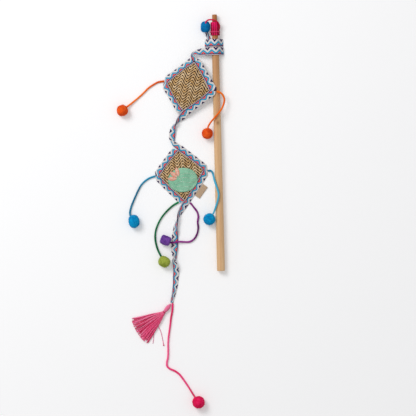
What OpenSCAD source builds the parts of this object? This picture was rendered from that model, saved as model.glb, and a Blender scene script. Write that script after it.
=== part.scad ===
/* [Dowel] */
// Length of the wooden dowel
dowel_len = 281.4; // [200:0.1:400]
// Diameter of the straight grip
grip_d = 8.8; // [8:0.1:12]
// Length of the straight grip
grip_len = 45; // [30:1:100]
// Diameter of the tip's end
tip_d = 5.3; // [4:0.1:6.5]
// Length of the steep taper at the tip
taper_len = 44; // [30:1:60]
// Diameter where the steep taper ends
shoulder_d = 7.7; // [6.5:0.1:8.6]
// Chamfer round both ends
end_chamfer = 0.5; // [0.2:0.1:1]
// Lean of the dowel away from the Y axis, in degrees
dowel_lean = 1.46; // [0:0.01:4]
// Place of the tip across
tip_x = 39.7; // [30:0.1:50]
// Place of the tip along
tip_y = 181.6; // [150:0.1:220]

/* [Ribbon] */
// Width of the folded ribbon
ribbon_w = 8.4; // [6:0.1:9]
// Thickness of one leaf of the ribbon
leaf_t = 0.35; // [0.25:0.05:0.4]
// Thickness of the folded ribbon where it lies loose
strip_t = 1.1; // [1:0.05:1.6]
// Thickness of the folded ribbon pressed round the dowel
wrap_t = 0.5; // [0.3:0.05:0.6]
// Distance from the dowel's tip to the first turn
wrap_start = 26.8; // [24:0.1:30]
// Space between the two turns
turn_gap = 0.8; // [0.2:0.1:2]
// Reach of the flattened turns to the right of the dowel's axis
wrap_right = 8.6; // [7:0.1:11]
// Reach of the flattened turns to the left of the dowel's axis
wrap_left = 11.2; // [9:0.1:14]
// Place across of the fold where the ribbon turns down
fold_x = 16.4; // [12:0.1:20]
// Height of that fold
fold_z = 4.3; // [3:0.1:6]

/* [Kites] */
// Width of a woven mat from corner to corner
mat_w = 46.4; // [40:0.1:50]
// Length of a woven mat from corner to corner
mat_l = 51.8; // [45:0.1:56]
// Thickness of the woven mat
mat_t = 1.2; // [1:0.1:2]
// Rise of the filled mat's crown
crown_h = 3.4; // [2:0.1:6]
// Thickness of the backing cloth
backing_t = 0.55; // [0.4:0.05:1]
// Width of mat and backing held inside the folded border
seam_w = 1.6; // [1:0.1:3]
// Place of the upper kite across
upper_x = 11.2; // [8:0.1:14]
// Place of the upper kite along
upper_y = 102.7; // [95:0.1:104]
// Turn of the upper kite, in degrees
upper_turn = -11.5; // [-20:0.1:0]
// Place of the lower kite across
lower_x = 2.9; // [0:0.1:4]
// Place of the lower kite along
lower_y = 6.5; // [4:0.1:12]
// Turn of the lower kite, in degrees
lower_turn = 6.3; // [0:0.1:12]
// Length of the tail ribbon under the lower kite
tail_len = 117; // [100:1:130]
// Drift of the tail's end to the left
tail_drift = 13; // [8:0.1:18]

/* [Lower kite trim] */
// Width of the oval felt patch
patch_w = 28.8; // [20:0.1:30]
// Height of the oval felt patch
patch_h = 24.6; // [18:0.1:26]
// Thickness of the felt patch
patch_t = 0.7; // [0.4:0.1:1.5]
// Length of one leaf of the motif
leaf_len = 8; // [5:0.1:9]
// Thickness of the motif's leaves
motif_t = 0.4; // [0.3:0.1:0.8]
// Length of the side tag along the seam
tag_l = 15.4; // [10:0.1:18]
// Reach of the side tag out of the seam
tag_w = 6.4; // [4:0.1:10]
// Thickness of the folded side tag
tag_t = 1; // [0.8:0.1:1.4]
// Thickness of one layer of the side tag
tag_layer_t = 0.35; // [0.2:0.05:0.4]

/* [Laces] */
// Width of a free lace
lace_d = 2.2; // [1.6:0.1:2.4]
// Width of the small lace at the dowel's tip
tip_lace_d = 1.8; // [1.4:0.1:1.9]
// Width of the laces bundled on the tip
bundle_d = 1.9; // [1.5:0.1:2]
// Distance from the dowel's tip to the bundle
bundle_start = 8; // [7:0.1:10]
// Length of the bundled laces
bundle_len = 15; // [13:0.1:17]
// Distance from the dowel's tip to the binding
binding_start = 18.4; // [18:0.1:20]
// Width of the binding
binding_w = 1.5; // [1:0.1:2]
// Thickness of the binding
binding_t = 0.5; // [0.3:0.1:0.8]

/* [Pompoms] */
// Diameter of the left orange pompom
orange_left_d = 12.1; // [9:0.1:14]
// Diameter of the right orange pompom
orange_right_d = 11.8; // [9:0.1:13]
// Width of the left blue pompom
blue_left_w = 11.9; // [9:0.1:14]
// Length of the left blue pompom
blue_left_l = 14.3; // [10:0.1:16]
// Diameter of the right blue pompom
blue_right_d = 12.7; // [10:0.1:13]
// Width of the olive pompom
olive_w = 11.8; // [9:0.1:14]
// Length of the olive pompom
olive_l = 13.2; // [10:0.1:15]
// Width of the purple pompom
purple_w = 10.4; // [9:0.1:12]
// Length of the purple pompom
purple_l = 11.4; // [9:0.1:12]
// Diameter of the pink pompom
pink_d = 13.2; // [10:0.1:15]
// Width of the blue pompom at the tip
tip_pompom_w = 10.2; // [8:0.1:11]
// Length of the blue pompom at the tip
tip_pompom_l = 11.9; // [9:0.1:13]

/* [Tassel] */
// Length of the tassel's head
head_len = 11; // [8:0.1:14]
// Diameter of the tassel's head
head_d = 5; // [4:0.1:6]
// Diameter of the tassel's neck
neck_d = 3.1; // [2.4:0.1:3.8]
// Diameter of the head's top
head_top_d = 1.2; // [1:0.1:1.4]
// Width of the thread round the neck
tie_w = 1.6; // [1:0.1:2.4]
// Thickness of the thread round the neck
tie_t = 0.35; // [0.2:0.05:0.5]
// Length of the skirt from the neck
skirt_len = 36.9; // [30:0.1:40]
// Diameter of the two stray strands
stray_d = 1; // [0.8:0.1:1.4]

/* [Clearances] */
// Space between layers of one sewn piece
layer_gap = 0.05; // [0.02:0.01:0.1]
// Space between pieces that move apart
joint_gap = 0.4; // [0.3:0.05:0.6]
// Space between the upper kite and the dowel under it
seat_gap = 0.35; // [0.3:0.05:0.6]

/* [Hidden] */
$fn = 48;

wood = "#cda57d";
ribbon_blue = "#4baac8";
seagrass = "#b98f58";
canvas = "#d9cbb2";
lace_orange = "#f06e14";
lace_blue = "#148caa";
lace_green = "#007846";
lace_purple = "#73146e";
lace_pink = "#f53278";

// Dowel, measured along its axis from the tip
grip_r = grip_d / 2;
tip_r = tip_d / 2;
shoulder_r = shoulder_d / 2;
grip_start = dowel_len - grip_len;
axis_z = max(grip_r, shoulder_r + layer_gap + wrap_t);
function dowel_r(s) =
  s < taper_len ? tip_r + (shoulder_r - tip_r) * s / taper_len
  : s < grip_start ? shoulder_r + (grip_r - shoulder_r) * (s - taper_len) / (grip_start - taper_len)
  : grip_r;
function axis_x(y) = tip_x + (tip_y - y) * tan(dowel_lean);
// Place of a point given across the dowel, above its axis and along it
function by_dowel(across, up, s) = [
  tip_x + across * cos(dowel_lean) + s * sin(dowel_lean),
  tip_y + across * sin(dowel_lean) - s * cos(dowel_lean),
  axis_z + up];

// Stack of a kite's rim, from the floor up
rim_gap = 2 * layer_gap;
rim_t = 2 * leaf_t + backing_t + mat_t + 2 * rim_gap + layer_gap;
backing_z = leaf_t + layer_gap;
mat_z = backing_z + backing_t + rim_gap;
half_w = mat_w / 2;
half_l = mat_l / 2;
mat_side = norm([half_w, half_l]);
side_reach = half_w * half_l / mat_side;
seam_scale = (side_reach + seam_w) / side_reach;

// Blunt corners of the borders, as shares of the ribbon's width beyond the mat's corner
upper_cut_shares = [0.64, 0.92];
lower_cut_shares = [0.82, 0.74];
function blunt_v(cut) =
  (half_w * half_l + ribbon_w * mat_side - (half_w + cut) * half_l) / half_w;

// The upper kite leans on the dowel: its left corner is on the floor, its right one on the wood
upper_left = half_w + upper_cut_shares[0] * ribbon_w;
upper_left_v = blunt_v(upper_cut_shares[0] * ribbon_w);
upper_reach = upper_left * cos(upper_turn) - upper_left_v * sin(upper_turn);
lean_reach = axis_x(upper_y) - upper_x + upper_reach;
lean_rise = dowel_r(tip_y - upper_y) + seat_gap;
upper_tilt = asin(lean_rise / norm([lean_reach, axis_z])) + atan(axis_z / lean_reach);
upper_kite = [upper_x, upper_y, upper_reach * sin(upper_tilt), upper_turn, upper_tilt];
lower_kite = [lower_x, lower_y, 0, lower_turn, 0];
function on_kite(kite, p) =
  let (x = p[0] * cos(kite[3]) - p[1] * sin(kite[3]),
       y = p[0] * sin(kite[3]) + p[1] * cos(kite[3]),
       z = p[2])
  [kite[0] + x * cos(kite[4]) - z * sin(kite[4]),
   kite[1] + y,
   kite[2] + x * sin(kite[4]) + z * cos(kite[4])];
function kite_up(kite) = [-sin(kite[4]), 0, cos(kite[4])];

// Section of the folded ribbon: two leaves from the open edge to the fold
bend_share = 0.9;
function strip_ring(open_edge, fold_edge, up, open_h, fold_h) =
  let (w = norm(fold_edge - open_edge),
       a = (fold_edge - open_edge) / w,
       bend = open_edge + a * w * bend_share,
       inner_bend = bend - a * leaf_t)
  [open_edge + up * open_h, bend + up * fold_h, fold_edge,
   bend - up * fold_h, open_edge - up * open_h,
   open_edge - up * (open_h - leaf_t), inner_bend - up * (fold_h - leaf_t),
   fold_edge - a * leaf_t,
   inner_bend + up * (fold_h - leaf_t), open_edge + up * (open_h - leaf_t)];

// Ring of a loose ribbon that rolls as it goes: place, heading, roll, width and height
function loose_ring(place, heading, roll, w, open_t) =
  let (left = [-heading[1], heading[0], 0] / norm(heading),
       a = left * cos(roll) + [0, 0, sin(roll)],
       up = [0, 0, cos(roll)] - left * sin(roll),
       fold_h = strip_t / 2,
       open_h = open_t / 2,
       ring = strip_ring(place - a * w / 2, place + a * w / 2, up, open_h, fold_h),
       low = min([for (p = ring) p[2]]))
  [for (p = ring) p + [0, 0, place[2] - low]];

strip_n = 10;
// Both sides of a leaf are cut along the same diagonals, so a twisted leaf keeps its thickness
function is_turned(j) = j % 5 == 2 || j % 5 == 3;
function strip_faces(rings) =
  let (last = (rings - 1) * strip_n)
  concat(
    [for (i = [0 : rings - 2], j = [0 : strip_n - 1])
      let (a = i * strip_n + j, b = i * strip_n + (j + 1) % strip_n,
           c = (i + 1) * strip_n + j, d = (i + 1) * strip_n + (j + 1) % strip_n)
      is_turned(j) ? [a, b, d] : [a, b, c]],
    [for (i = [0 : rings - 2], j = [0 : strip_n - 1])
      let (a = i * strip_n + j, b = i * strip_n + (j + 1) % strip_n,
           c = (i + 1) * strip_n + j, d = (i + 1) * strip_n + (j + 1) % strip_n)
      is_turned(j) ? [a, d, c] : [b, d, c]],
    [for (j = [0 : 3]) [j, 9 - j, j + 1]],
    [for (j = [0 : 3]) [j + 1, 9 - j, 8 - j]],
    [for (j = [0 : 3]) [last + j, last + j + 1, last + 9 - j]],
    [for (j = [0 : 3]) [last + j + 1, last + 8 - j, last + 9 - j]]);

module strip(rings) {
  way = rings[1][0] - rings[0][0];
  across = rings[0][2] - rings[0][0];
  up = rings[0][0] - rings[0][4];
  faces = strip_faces(len(rings));
  color(ribbon_blue) polyhedron(
    [for (ring = rings) each ring],
    cross(across, up) * way > 0 ? faces : [for (f = faces) [f[2], f[1], f[0]]],
    convexity = 6);
}

// Border rings of one kite: side is 1 for the right strip and -1 for the left one
corner_share = 0.04;
function border_rings(kite, side, cut) =
  let (n_up = [side * half_l, half_w] / mat_side,
       n_down = [side * half_l, -half_w] / mat_side,
       top = [0, half_l],
       bottom = [0, -half_l],
       corner = [side * half_w, 0],
       back_up = (top - corner) * corner_share,
       back_down = (bottom - corner) * corner_share,
       outer_u = side * (half_w + cut),
       outer_v = blunt_v(cut),
       edges = [[top, top + n_up * ribbon_w],
                [corner + back_up, [outer_u, outer_v]],
                [corner + back_down, [outer_u, -outer_v]],
                [bottom, bottom + n_down * ribbon_w]])
  [for (e = edges)
    strip_ring(on_kite(kite, [e[0][0], e[0][1], rim_t / 2]),
               on_kite(kite, [e[1][0], e[1][1], strip_t / 2]),
               kite_up(kite), rim_t / 2, strip_t / 2)];
upper_right_rings = border_rings(upper_kite, 1, upper_cut_shares[1] * ribbon_w);
lower_right_own_rings = border_rings(lower_kite, 1, lower_cut_shares[1] * ribbon_w);
// Shares of the ribbon's width that this strip reaches past the top corner: open edge and fold
past_shares = [0.84, 1.42];
past_way = [-half_w, half_l] / mat_side;
past_n = [half_l, half_w] / mat_side;
past_open = [0, half_l] + past_way * past_shares[0] * ribbon_w;
past_fold = [0, half_l] + past_n * ribbon_w + past_way * past_shares[1] * ribbon_w;
past_ring = strip_ring(
  on_kite(lower_kite, [past_open[0], past_open[1], strip_t]),
  on_kite(lower_kite, [past_fold[0], past_fold[1], strip_t / 2]),
  kite_up(lower_kite), strip_t, strip_t / 2);
lower_right_rings = concat([past_ring], lower_right_own_rings);
upper_left_rings = border_rings(upper_kite, -1, upper_cut_shares[0] * ribbon_w);
lower_left_rings = border_rings(lower_kite, -1, lower_cut_shares[0] * ribbon_w);

// Blends one ring into another
function between(a, b, share) = [for (i = [0 : strip_n - 1]) a[i] * (1 - share) + b[i] * share];

// The lead hangs from the fold at the end of the run
wrap_end = wrap_start + 2 * ribbon_w + turn_gap;
run_reach = tip_x - fold_x + 0.44 * ribbon_w;
fold_y = tip_y - wrap_end * cos(dowel_lean) - run_reach * sin(dowel_lean) - joint_gap;
lead_shares = [-0.34, 0.36];
lead_start = strip_ring(
  [fold_x + lead_shares[0] * ribbon_w, fold_y, fold_z + strip_t / 2],
  [fold_x + lead_shares[1] * ribbon_w, fold_y, fold_z + strip_t / 2],
  [0, 0, 1], strip_t / 2, strip_t / 2);
lead_rings = [lead_start, between(lead_start, upper_right_rings[0], 0.5), upper_right_rings[0]];

// The link runs from the upper kite's bottom corner to the lower kite's top corner.
// Each row: share of the way down, share of the ribbon's width aside, roll in degrees,
// share of the ribbon's width shown, share of the loose thickness at the open edge
link_top = on_kite(upper_kite, [0, -half_l, 0]);
link_end = on_kite(lower_kite, [0, half_l, 0]);
link_upper_shares = [
  [0.156, -0.03, -8, 0.92, 1.3],
  [0.239, -0.42, -40, 0.75, 1.5],
  [0.285, -0.63, -72, 0.62, 2]];
link_twist_share = [0.315, -0.74, -90, 0.6, 2];
link_lower_shares = [
  [0.36, -0.86, -122, 0.66, 1.8],
  [0.42, -0.97, -152, 0.8, 1.4],
  [0.51, -1.04, -172, 0.94, 1.1],
  [0.626, -1.01, -180, 1, 1],
  [0.705, -0.92, -180, 0.96, 1]];
// Share of the kite's own height that is left at each row of the upper part
link_drop_shares = [0.5, 0.2, 0.05];
function link_place(row) =
  let (way = link_end - link_top)
  [link_top[0] + way[0] * row[0] + row[1] * ribbon_w, link_top[1] + way[1] * row[0], 0];
link_upper_places = [for (row = concat(link_upper_shares, [link_twist_share])) link_place(row)];
link_lower_places = [for (row = concat([link_twist_share], link_lower_shares)) link_place(row)];
down = [0, -1, 0];
half_gap = [0, joint_gap / 2, 0];
function heading_at(places, i) = places[min(i + 1, len(places) - 1)] - places[max(i - 1, 0)];
function row_ring(row, place, heading) =
  loose_ring(place, heading, row[2], row[3] * ribbon_w, row[4] * strip_t);
link_upper_rings = concat(
  [upper_right_rings[len(upper_right_rings) - 1]],
  [for (i = [0 : len(link_upper_shares) - 1])
    row_ring(link_upper_shares[i],
             link_upper_places[i] + [0, 0, link_top[2] * link_drop_shares[i]],
             heading_at(link_upper_places, i))],
  [row_ring(link_twist_share, link_upper_places[len(link_upper_shares)] + half_gap, down)]);
link_lower_rings = concat(
  [row_ring(link_twist_share, link_lower_places[0] - half_gap, down)],
  [for (i = [0 : len(link_lower_shares) - 1])
    row_ring(link_lower_shares[i], link_lower_places[i + 1],
             heading_at(link_lower_places, i + 1))]);

// Tail, from the lower kite's bottom corner down. Rows as for the link
tail_top = on_kite(lower_kite, [0, -half_l, 0]);
tail_upper_shares = [
  [0.045, 0.1, -4, 0.9, 1.2],
  [0.107, -0.14, -28, 0.72, 1.4],
  [0.145, -0.2, -50, 0.62, 1.6],
  [0.192, -0.465, -90, 0.55, 2.1],
  [0.248, -0.7, -130, 0.58, 1.7],
  [0.305, -0.644, -158, 0.76, 1.3],
  [0.371, -0.586, -178, 0.92, 1],
  [0.427, -0.507, -180, 0.94, 1],
  [0.483, -0.471, -196, 0.84, 1.5],
  [0.535, -0.41, -230, 0.78, 2.6]];
tail_turn_share = [0.577, -0.3, -270, 0.72, 4.2];
tail_lower_shares = [
  [0.624, -0.09, -306, 0.74, 3],
  [0.681, 0.07, -342, 0.76, 1.8],
  [0.747, 0.12, -358, 0.76, 1.2],
  [0.812, 0.18, -362, 0.7, 1.2],
  [0.869, 0.15, -372, 0.6, 1.5],
  [0.916, 0.1, -380, 0.46, 1.8],
  [0.963, 0, -374, 0.41, 1.8],
  [0.99, 0, -366, 0.36, 1.7]];
function tail_place(row) = [
  tail_top[0] - tail_drift * row[0] + row[1] * ribbon_w, tail_top[1] - tail_len * row[0], 0];
tail_upper_places = [for (row = concat(tail_upper_shares, [tail_turn_share])) tail_place(row)];
tail_lower_places = [for (row = concat([tail_turn_share], tail_lower_shares)) tail_place(row)];
tail_upper_rings = concat(
  [for (i = [0 : len(tail_upper_shares) - 1])
    row_ring(tail_upper_shares[i], tail_upper_places[i], heading_at(tail_upper_places, i))],
  [row_ring(tail_turn_share, tail_upper_places[len(tail_upper_shares)] + half_gap, down)]);
tail_lower_rings = concat(
  [row_ring(tail_turn_share, tail_lower_places[0] - half_gap, down)],
  [for (i = [0 : len(tail_lower_shares) - 1])
    row_ring(tail_lower_shares[i], tail_lower_places[i + 1],
             heading_at(tail_lower_places, i + 1))]);
tail_end = [tail_top[0] - tail_drift, tail_top[1] - tail_len];

// Round tube along a list of points, with rings square to the way
function tube_ring(places, i, r, sides) =
  let (way = heading_at(places, i),
       t = way / norm(way),
       side = cross(t, [0, 0, 1]) / norm(cross(t, [0, 0, 1])),
       up = cross(side, t))
  [for (k = [0 : sides - 1])
    places[i] + side * r * sin(360 * k / sides) + up * r * cos(360 * k / sides)];
function tube_faces(rings, n) =
  let (last = (rings - 1) * n)
  concat(
    [for (i = [0 : rings - 2], j = [0 : n - 1])
      [i * n + j, (i + 1) * n + j, i * n + (j + 1) % n]],
    [for (i = [0 : rings - 2], j = [0 : n - 1])
      [i * n + (j + 1) % n, (i + 1) * n + j, (i + 1) * n + (j + 1) % n]],
    [for (j = [1 : n - 2]) [0, j, j + 1]],
    [for (j = [1 : n - 2]) [last, last + j + 1, last + j]]);
module tube(places, d, sides) {
  polyhedron(
    [for (i = [0 : len(places) - 1]) each tube_ring(places, i, d / 2, sides)],
    tube_faces(len(places), sides), convexity = 6);
}
cord_sides = 8;
module lace(places, d, shade) {
  color(shade) tube(places, d, cord_sides);
}

// Routes of the free laces, each from where it is sewn on to the inside of its pompom
orange_left_route = [
  [-17.1, 108.4, 1.2], [-22.5, 107.5, 1.2], [-28, 104.5, 1.2], [-33, 101, 1.2], [-38, 96, 1.2],
  [-44, 90.5, 1.2], [-50, 85.5, 1.7], [-55, 81.5, 3], [-58, 79.2, 4.4]];
orange_right_route = [
  [42.1, 97, 10.2], [45.5, 96, 10], [48.8, 93, 9], [50.5, 88, 7.8], [49.3, 82, 8],
  [46, 75.7, 9.5], [41.5, 70, 10.4], [36.5, 64.4, 9.6], [33, 59, 8.4], [31.8, 54.5, 7.4]];
blue_left_route = [
  [-27.9, 3.5, 1.2], [-32, 2, 1.2], [-36.5, -1, 1.2], [-40.5, -5, 1.2], [-44, -11, 1.2],
  [-47, -17.5, 1.2], [-49.8, -24, 1.2], [-52, -30, 1.2], [-53.2, -35.5, 1.7],
  [-52.8, -39, 3], [-51.5, -41.5, 4.4]];
blue_right_route = [
  [32.7, 10, 1.2], [35.2, 10.4, 2.2], [37.2, 8.6, 4.2], [38.4, 5, 6.3], [39.3, 1, 8],
  [41, -4.5, 9.6], [43, -10.5, 10.3], [44.2, -16, 10.5], [43.2, -22.5, 10.3],
  [41.2, -29, 9.3], [38.9, -35.5, 8.2], [36.6, -39.6, 7.4]];
green_route = [
  [-1.3, -25.2, 1.2], [-5.5, -27.7, 1.2], [-10.5, -32, 1.2], [-15.5, -37.3, 1.2],
  [-20, -43.7, 1.2], [-23.2, -50.4, 1.2], [-25.2, -57.5, 1.2], [-25.5, -64, 1.2],
  [-24.4, -71, 1.2], [-22, -78, 1.9], [-19.5, -82.8, 3.2], [-17.5, -86, 4.4]];
purple_route = [
  [13, -24.9, 1.2], [17, -30, 1.2], [20.6, -35, 1.2], [21.9, -40, 1.2], [21.2, -46, 1.2],
  [21.8, -52.5, 1.2], [20.4, -59.5, 1.2], [17.3, -64.7, 1.2], [12.5, -67.8, 1.2],
  [6.5, -68, 1.6], [1, -67.8, 2.7], [-3.5, -68.3, 3.1], [-8.1, -68.8, 3.5],
  [-11, -67.8, 4.2]];
pink_route = [
  [-6.4, -135.4, 1.2], [-6.7, -144, 1.2], [-8, -151, 1.2], [-8.8, -158, 1.2], [-9.8, -165.5, 1.2],
  [-10.8, -173, 1.2], [-11.3, -180, 1.2], [-11.2, -187.5, 1.2], [-11.5, -195, 1.2],
  [-12.6, -200.5, 1.2], [-12.4, -204.5, 1.2], [-9.4, -207.4, 1.2], [-4, -209.8, 1.2],
  [1, -213.5, 1.2], [5.2, -218.8, 1.2], [9.2, -224.5, 1.2], [13.6, -231.4, 1.2],
  [17.4, -237.4, 2.6], [20, -241.2, 4.6]];
tip_route = [
  [45, 164.9, 4.9], [46, 167, 5.3], [46, 169.8, 6.6], [44.5, 172.6, 8.9], [41.2, 175.2, 10.3],
  [37, 176.4, 10.3], [33.4, 176.3, 10.1], [30.7, 175, 10.1], [29.5, 172.6, 9.9],
  [29.5, 170.2, 8.8], [29.8, 168.4, 6.8]];

// Places of the pompoms' centres, each round the end of its lace
function pompom_at(route, aside, ahead, w) =
  let (end = route[len(route) - 1]) [end[0] + aside, end[1] + ahead, w / 2];

module on_dowel() {
  translate([tip_x, tip_y, axis_z]) rotate([90, 0, dowel_lean]) children();
}

module dowel() {
  color(wood) on_dowel() rotate_extrude()
    polygon([
      [0, 0], [tip_r - end_chamfer, 0], [tip_r, end_chamfer], [shoulder_r, taper_len],
      [grip_r, grip_start], [grip_r, dowel_len - end_chamfer],
      [grip_r - end_chamfer, dowel_len], [0, dowel_len]]);
}

// Flattened loop round the dowel, seen along it: an arc on the wood, straight to both folded ends
arc_steps = 12;
function arc_points(r, from_a, to_a) =
  [for (i = [0 : arc_steps])
    let (a = from_a + (to_a - from_a) * i / arc_steps) [r * cos(a), r * sin(a)]];
function tangent_right(x, y, r) = atan2(y, x) + acos(r / norm([x, y]));
function tangent_left(x, y, r) = 180 - tangent_right(-x, y, r);
function loop_points(r, left, right, low, rise) = concat(
  [[-left, low], [right, low], [right, low + rise]],
  arc_points(r, tangent_right(right, low + rise, r), tangent_left(-left, low + rise, r)),
  [[-left, low + rise]]);

module wrap_turn(start) {
  inner_r = dowel_r(start + ribbon_w) + layer_gap;
  low = -axis_z;
  on_dowel() translate([0, 0, start]) linear_extrude(ribbon_w) difference() {
    polygon(loop_points(inner_r + wrap_t, wrap_left, wrap_right, low, 2 * wrap_t));
    polygon(loop_points(
      inner_r, wrap_left - 2 * wrap_t, wrap_right - 2 * wrap_t, low + wrap_t, layer_gap));
  }
}

// Share of the flattened width that the strip joining both turns takes
bridge_share = 0.6;
module ribbon_wrap() {
  color(ribbon_blue) {
    wrap_turn(wrap_start);
    wrap_turn(wrap_start + ribbon_w + turn_gap);
    on_dowel() translate([0, -axis_z, wrap_start + ribbon_w - wrap_t])
      cube([wrap_right * bridge_share, wrap_t, turn_gap + 2 * wrap_t]);
  }
}

// The run leaves the top of the lower turn and goes left to the fold.
// Each row: share of the way to the fold, shares of the ribbon's width of its two edges
run_shares = [[0, 1, 0], [0.55, 1, 0.02], [0.85, 0.98, 0.16], [1, 0.94, 0.28]];
run_top = dowel_r(wrap_end) + 3 * layer_gap + wrap_t;
module ribbon_run() {
  start = wrap_start + ribbon_w + turn_gap;
  run_t = wrap_t + 2 * layer_gap;
  top_z = run_top + layer_gap;
  strip([for (row = run_shares)
    let (across = -run_reach * row[0], up = top_z + (fold_z - axis_z - top_z) * row[0])
    flat_ring(by_dowel(across, up, start + row[1] * ribbon_w),
              by_dowel(across, up, start + row[2] * ribbon_w))]);
}
// Ring of the ribbon pressed flat, its underside on the two edges given
function flat_ring(open_edge, fold_edge) =
  let (a = (fold_edge - open_edge) / norm(fold_edge - open_edge),
       up = [0, 0, 1], h = leaf_t + layer_gap / 2)
  strip_ring(open_edge + up * h, fold_edge + up * h, up, h, h);

// Free end of the ribbon on the floor, as shares of the ribbon's width from the first turn
end_shares = [
  [-0.5, 0], [-0.79, -0.6], [-0.86, -0.83], [-1.1, -1.2], [-1.3, -0.83], [-1.2, -0.37],
  [-1.1, 0]];
module ribbon_end() {
  color(ribbon_blue) linear_extrude(wrap_t)
    polygon([for (s = end_shares)
      let (p = by_dowel(s[0] * ribbon_w, 0, wrap_start + s[1] * ribbon_w)) [p[0], p[1]]]);
}

// Laces laid along the tip, by their angle from the top
lace_angles = [-66, -36, -6, 24, 52];
lace_start_shares = [0.04, 0, 0.03, 0.01, 0.05];
stub_angle = 86;
stub_start = binding_start - 0.8 * binding_w;
taper_angle = atan((shoulder_r - tip_r) / taper_len);
module laid_lace(angle, start, len, d, lift) {
  on_dowel() rotate([0, 0, -angle])
    translate([0, dowel_r(start) + lift + d / 2, start])
      rotate([-taper_angle, 0, 0]) cylinder(len, d = d);
}
module tip_laces() {
  color(lace_pink) {
    for (i = [0 : len(lace_angles) - 1])
      laid_lace(lace_angles[i], bundle_start + lace_start_shares[i] * bundle_len,
                bundle_len * (1 - lace_start_shares[i]), bundle_d, 2 * layer_gap);
    laid_lace(stub_angle, stub_start, bundle_start + bundle_len - stub_start,
              bundle_d, 2 * layer_gap);
  }
}

// Binding: wide over the laces, close under the dowel
binding_low_r = dowel_r(binding_start + binding_w) + layer_gap;
binding_high_r = binding_low_r + bundle_d + 3 * layer_gap;
binding_left = lace_angles[0] - 16;
binding_right = stub_angle + 16;
blend_angle = 28;
binding_steps = 60;
function binding_share(a) =
  a < binding_left - blend_angle || a > binding_right + blend_angle ? 0
  : a < binding_left ? (a - binding_left + blend_angle) / blend_angle
  : a > binding_right ? (binding_right + blend_angle - a) / blend_angle : 1;
function binding_points(extra) =
  [for (i = [0 : binding_steps - 1])
    let (a = -180 + 360 * i / binding_steps,
         r = binding_low_r + (binding_high_r - binding_low_r) * binding_share(a) + extra)
    [r * sin(a), r * cos(a)]];
module lace_binding() {
  color("#d2145a") on_dowel() translate([0, 0, binding_start]) linear_extrude(binding_w)
    difference() {
      polygon(binding_points(binding_t));
      polygon(binding_points(0));
    }
}

// Felt pompom: a squarish ball turned about its long axis, which lies flat
pompom_power = 2.3;
pompom_steps = 12;
module pompom(place, w, l, turn, shade) {
  color(shade) translate(place) rotate([90, 0, turn]) rotate_extrude()
    polygon([for (i = [0 : pompom_steps])
      let (a = -90 + 180 * i / pompom_steps,
           c = pow(abs(cos(a)), 2 / pompom_power),
           s = pow(abs(sin(a)), 2 / pompom_power) * sign(sin(a)))
      [c * w / 2, s * l / 2]]);
}

// Crowned mat: a grid over the rhombus, flat in the seam and drawn in between the corners
mat_shares = [-1, -1 / seam_scale, -0.84, -0.72, -0.56, -0.38, -0.19, 0,
              0.19, 0.38, 0.56, 0.72, 0.84, 1 / seam_scale, 1];
pull_share = 0.012;
crown_power = 0.6;
function crown_at(s, t) =
  pow(max(0, 1 - pow(s * seam_scale, 2)) * max(0, 1 - pow(t * seam_scale, 2)), crown_power);
corner_keep_share = 0.97;
function rhombus_at(s, t) =
  let (keep = abs(s * t) == 1 ? corner_keep_share : 1,
       a = keep * s * (1 - pull_share * (1 - t * t)),
       b = keep * t * (1 - pull_share * (1 - s * s)))
  [(a + b) / 2 * half_w * seam_scale, (a - b) / 2 * half_l * seam_scale];
function grid_faces(n) =
  let (under = n * n)
  concat(
    [for (i = [0 : n - 2], j = [0 : n - 2]) [i * n + j, (i + 1) * n + j, (i + 1) * n + j + 1]],
    [for (i = [0 : n - 2], j = [0 : n - 2]) [i * n + j, (i + 1) * n + j + 1, i * n + j + 1]],
    [for (i = [0 : n - 2], j = [0 : n - 2])
      [under + i * n + j, under + (i + 1) * n + j + 1, under + (i + 1) * n + j]],
    [for (i = [0 : n - 2], j = [0 : n - 2])
      [under + i * n + j, under + i * n + j + 1, under + (i + 1) * n + j + 1]],
    [for (j = [0 : n - 2]) [j, j + 1, under + j + 1]],
    [for (j = [0 : n - 2]) [j, under + j + 1, under + j]],
    [for (j = [0 : n - 2]) let (k = (n - 1) * n + j) [k, under + k + 1, k + 1]],
    [for (j = [0 : n - 2]) let (k = (n - 1) * n + j) [k, under + k, under + k + 1]],
    [for (i = [0 : n - 2]) let (k = i * n) [k, under + k, under + k + n]],
    [for (i = [0 : n - 2]) let (k = i * n) [k, under + k + n, k + n]],
    [for (i = [0 : n - 2]) let (k = i * n + n - 1) [k, k + n, under + k + n]],
    [for (i = [0 : n - 2]) let (k = i * n + n - 1) [k, under + k + n, under + k]]);
function mat_under(s, t) = mat_z + crown_h * crown_at(s, t);
edge_share = 0.45;
function mat_over(s, t) =
  mat_under(s, t) + mat_t * (max(abs(s), abs(t)) == 1 ? edge_share : 1);

module mat(kite) {
  color(seagrass) polyhedron(
    concat(
      [for (s = mat_shares, t = mat_shares)
        let (p = rhombus_at(s, t)) on_kite(kite, [p[0], p[1], mat_over(s, t)])],
      [for (s = mat_shares, t = mat_shares)
        let (p = rhombus_at(s, t)) on_kite(kite, [p[0], p[1], mat_under(s, t)])]),
    grid_faces(len(mat_shares)), convexity = 4);
}

// Catnip filling: fills the space between backing and mat inside the seam
filling_shares = [for (i = [2 : len(mat_shares) - 3]) mat_shares[i]];
module filling(kite) {
  color("#6e7a3c") polyhedron(
    concat(
      [for (s = filling_shares, t = filling_shares)
        let (p = rhombus_at(s, t)) on_kite(kite, [p[0], p[1], mat_under(s, t) - rim_gap])],
      [for (s = filling_shares, t = filling_shares)
        let (p = rhombus_at(s, t))
        on_kite(kite, [p[0], p[1], backing_z + backing_t + layer_gap])]),
    grid_faces(len(filling_shares)), convexity = 4);
}

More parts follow.
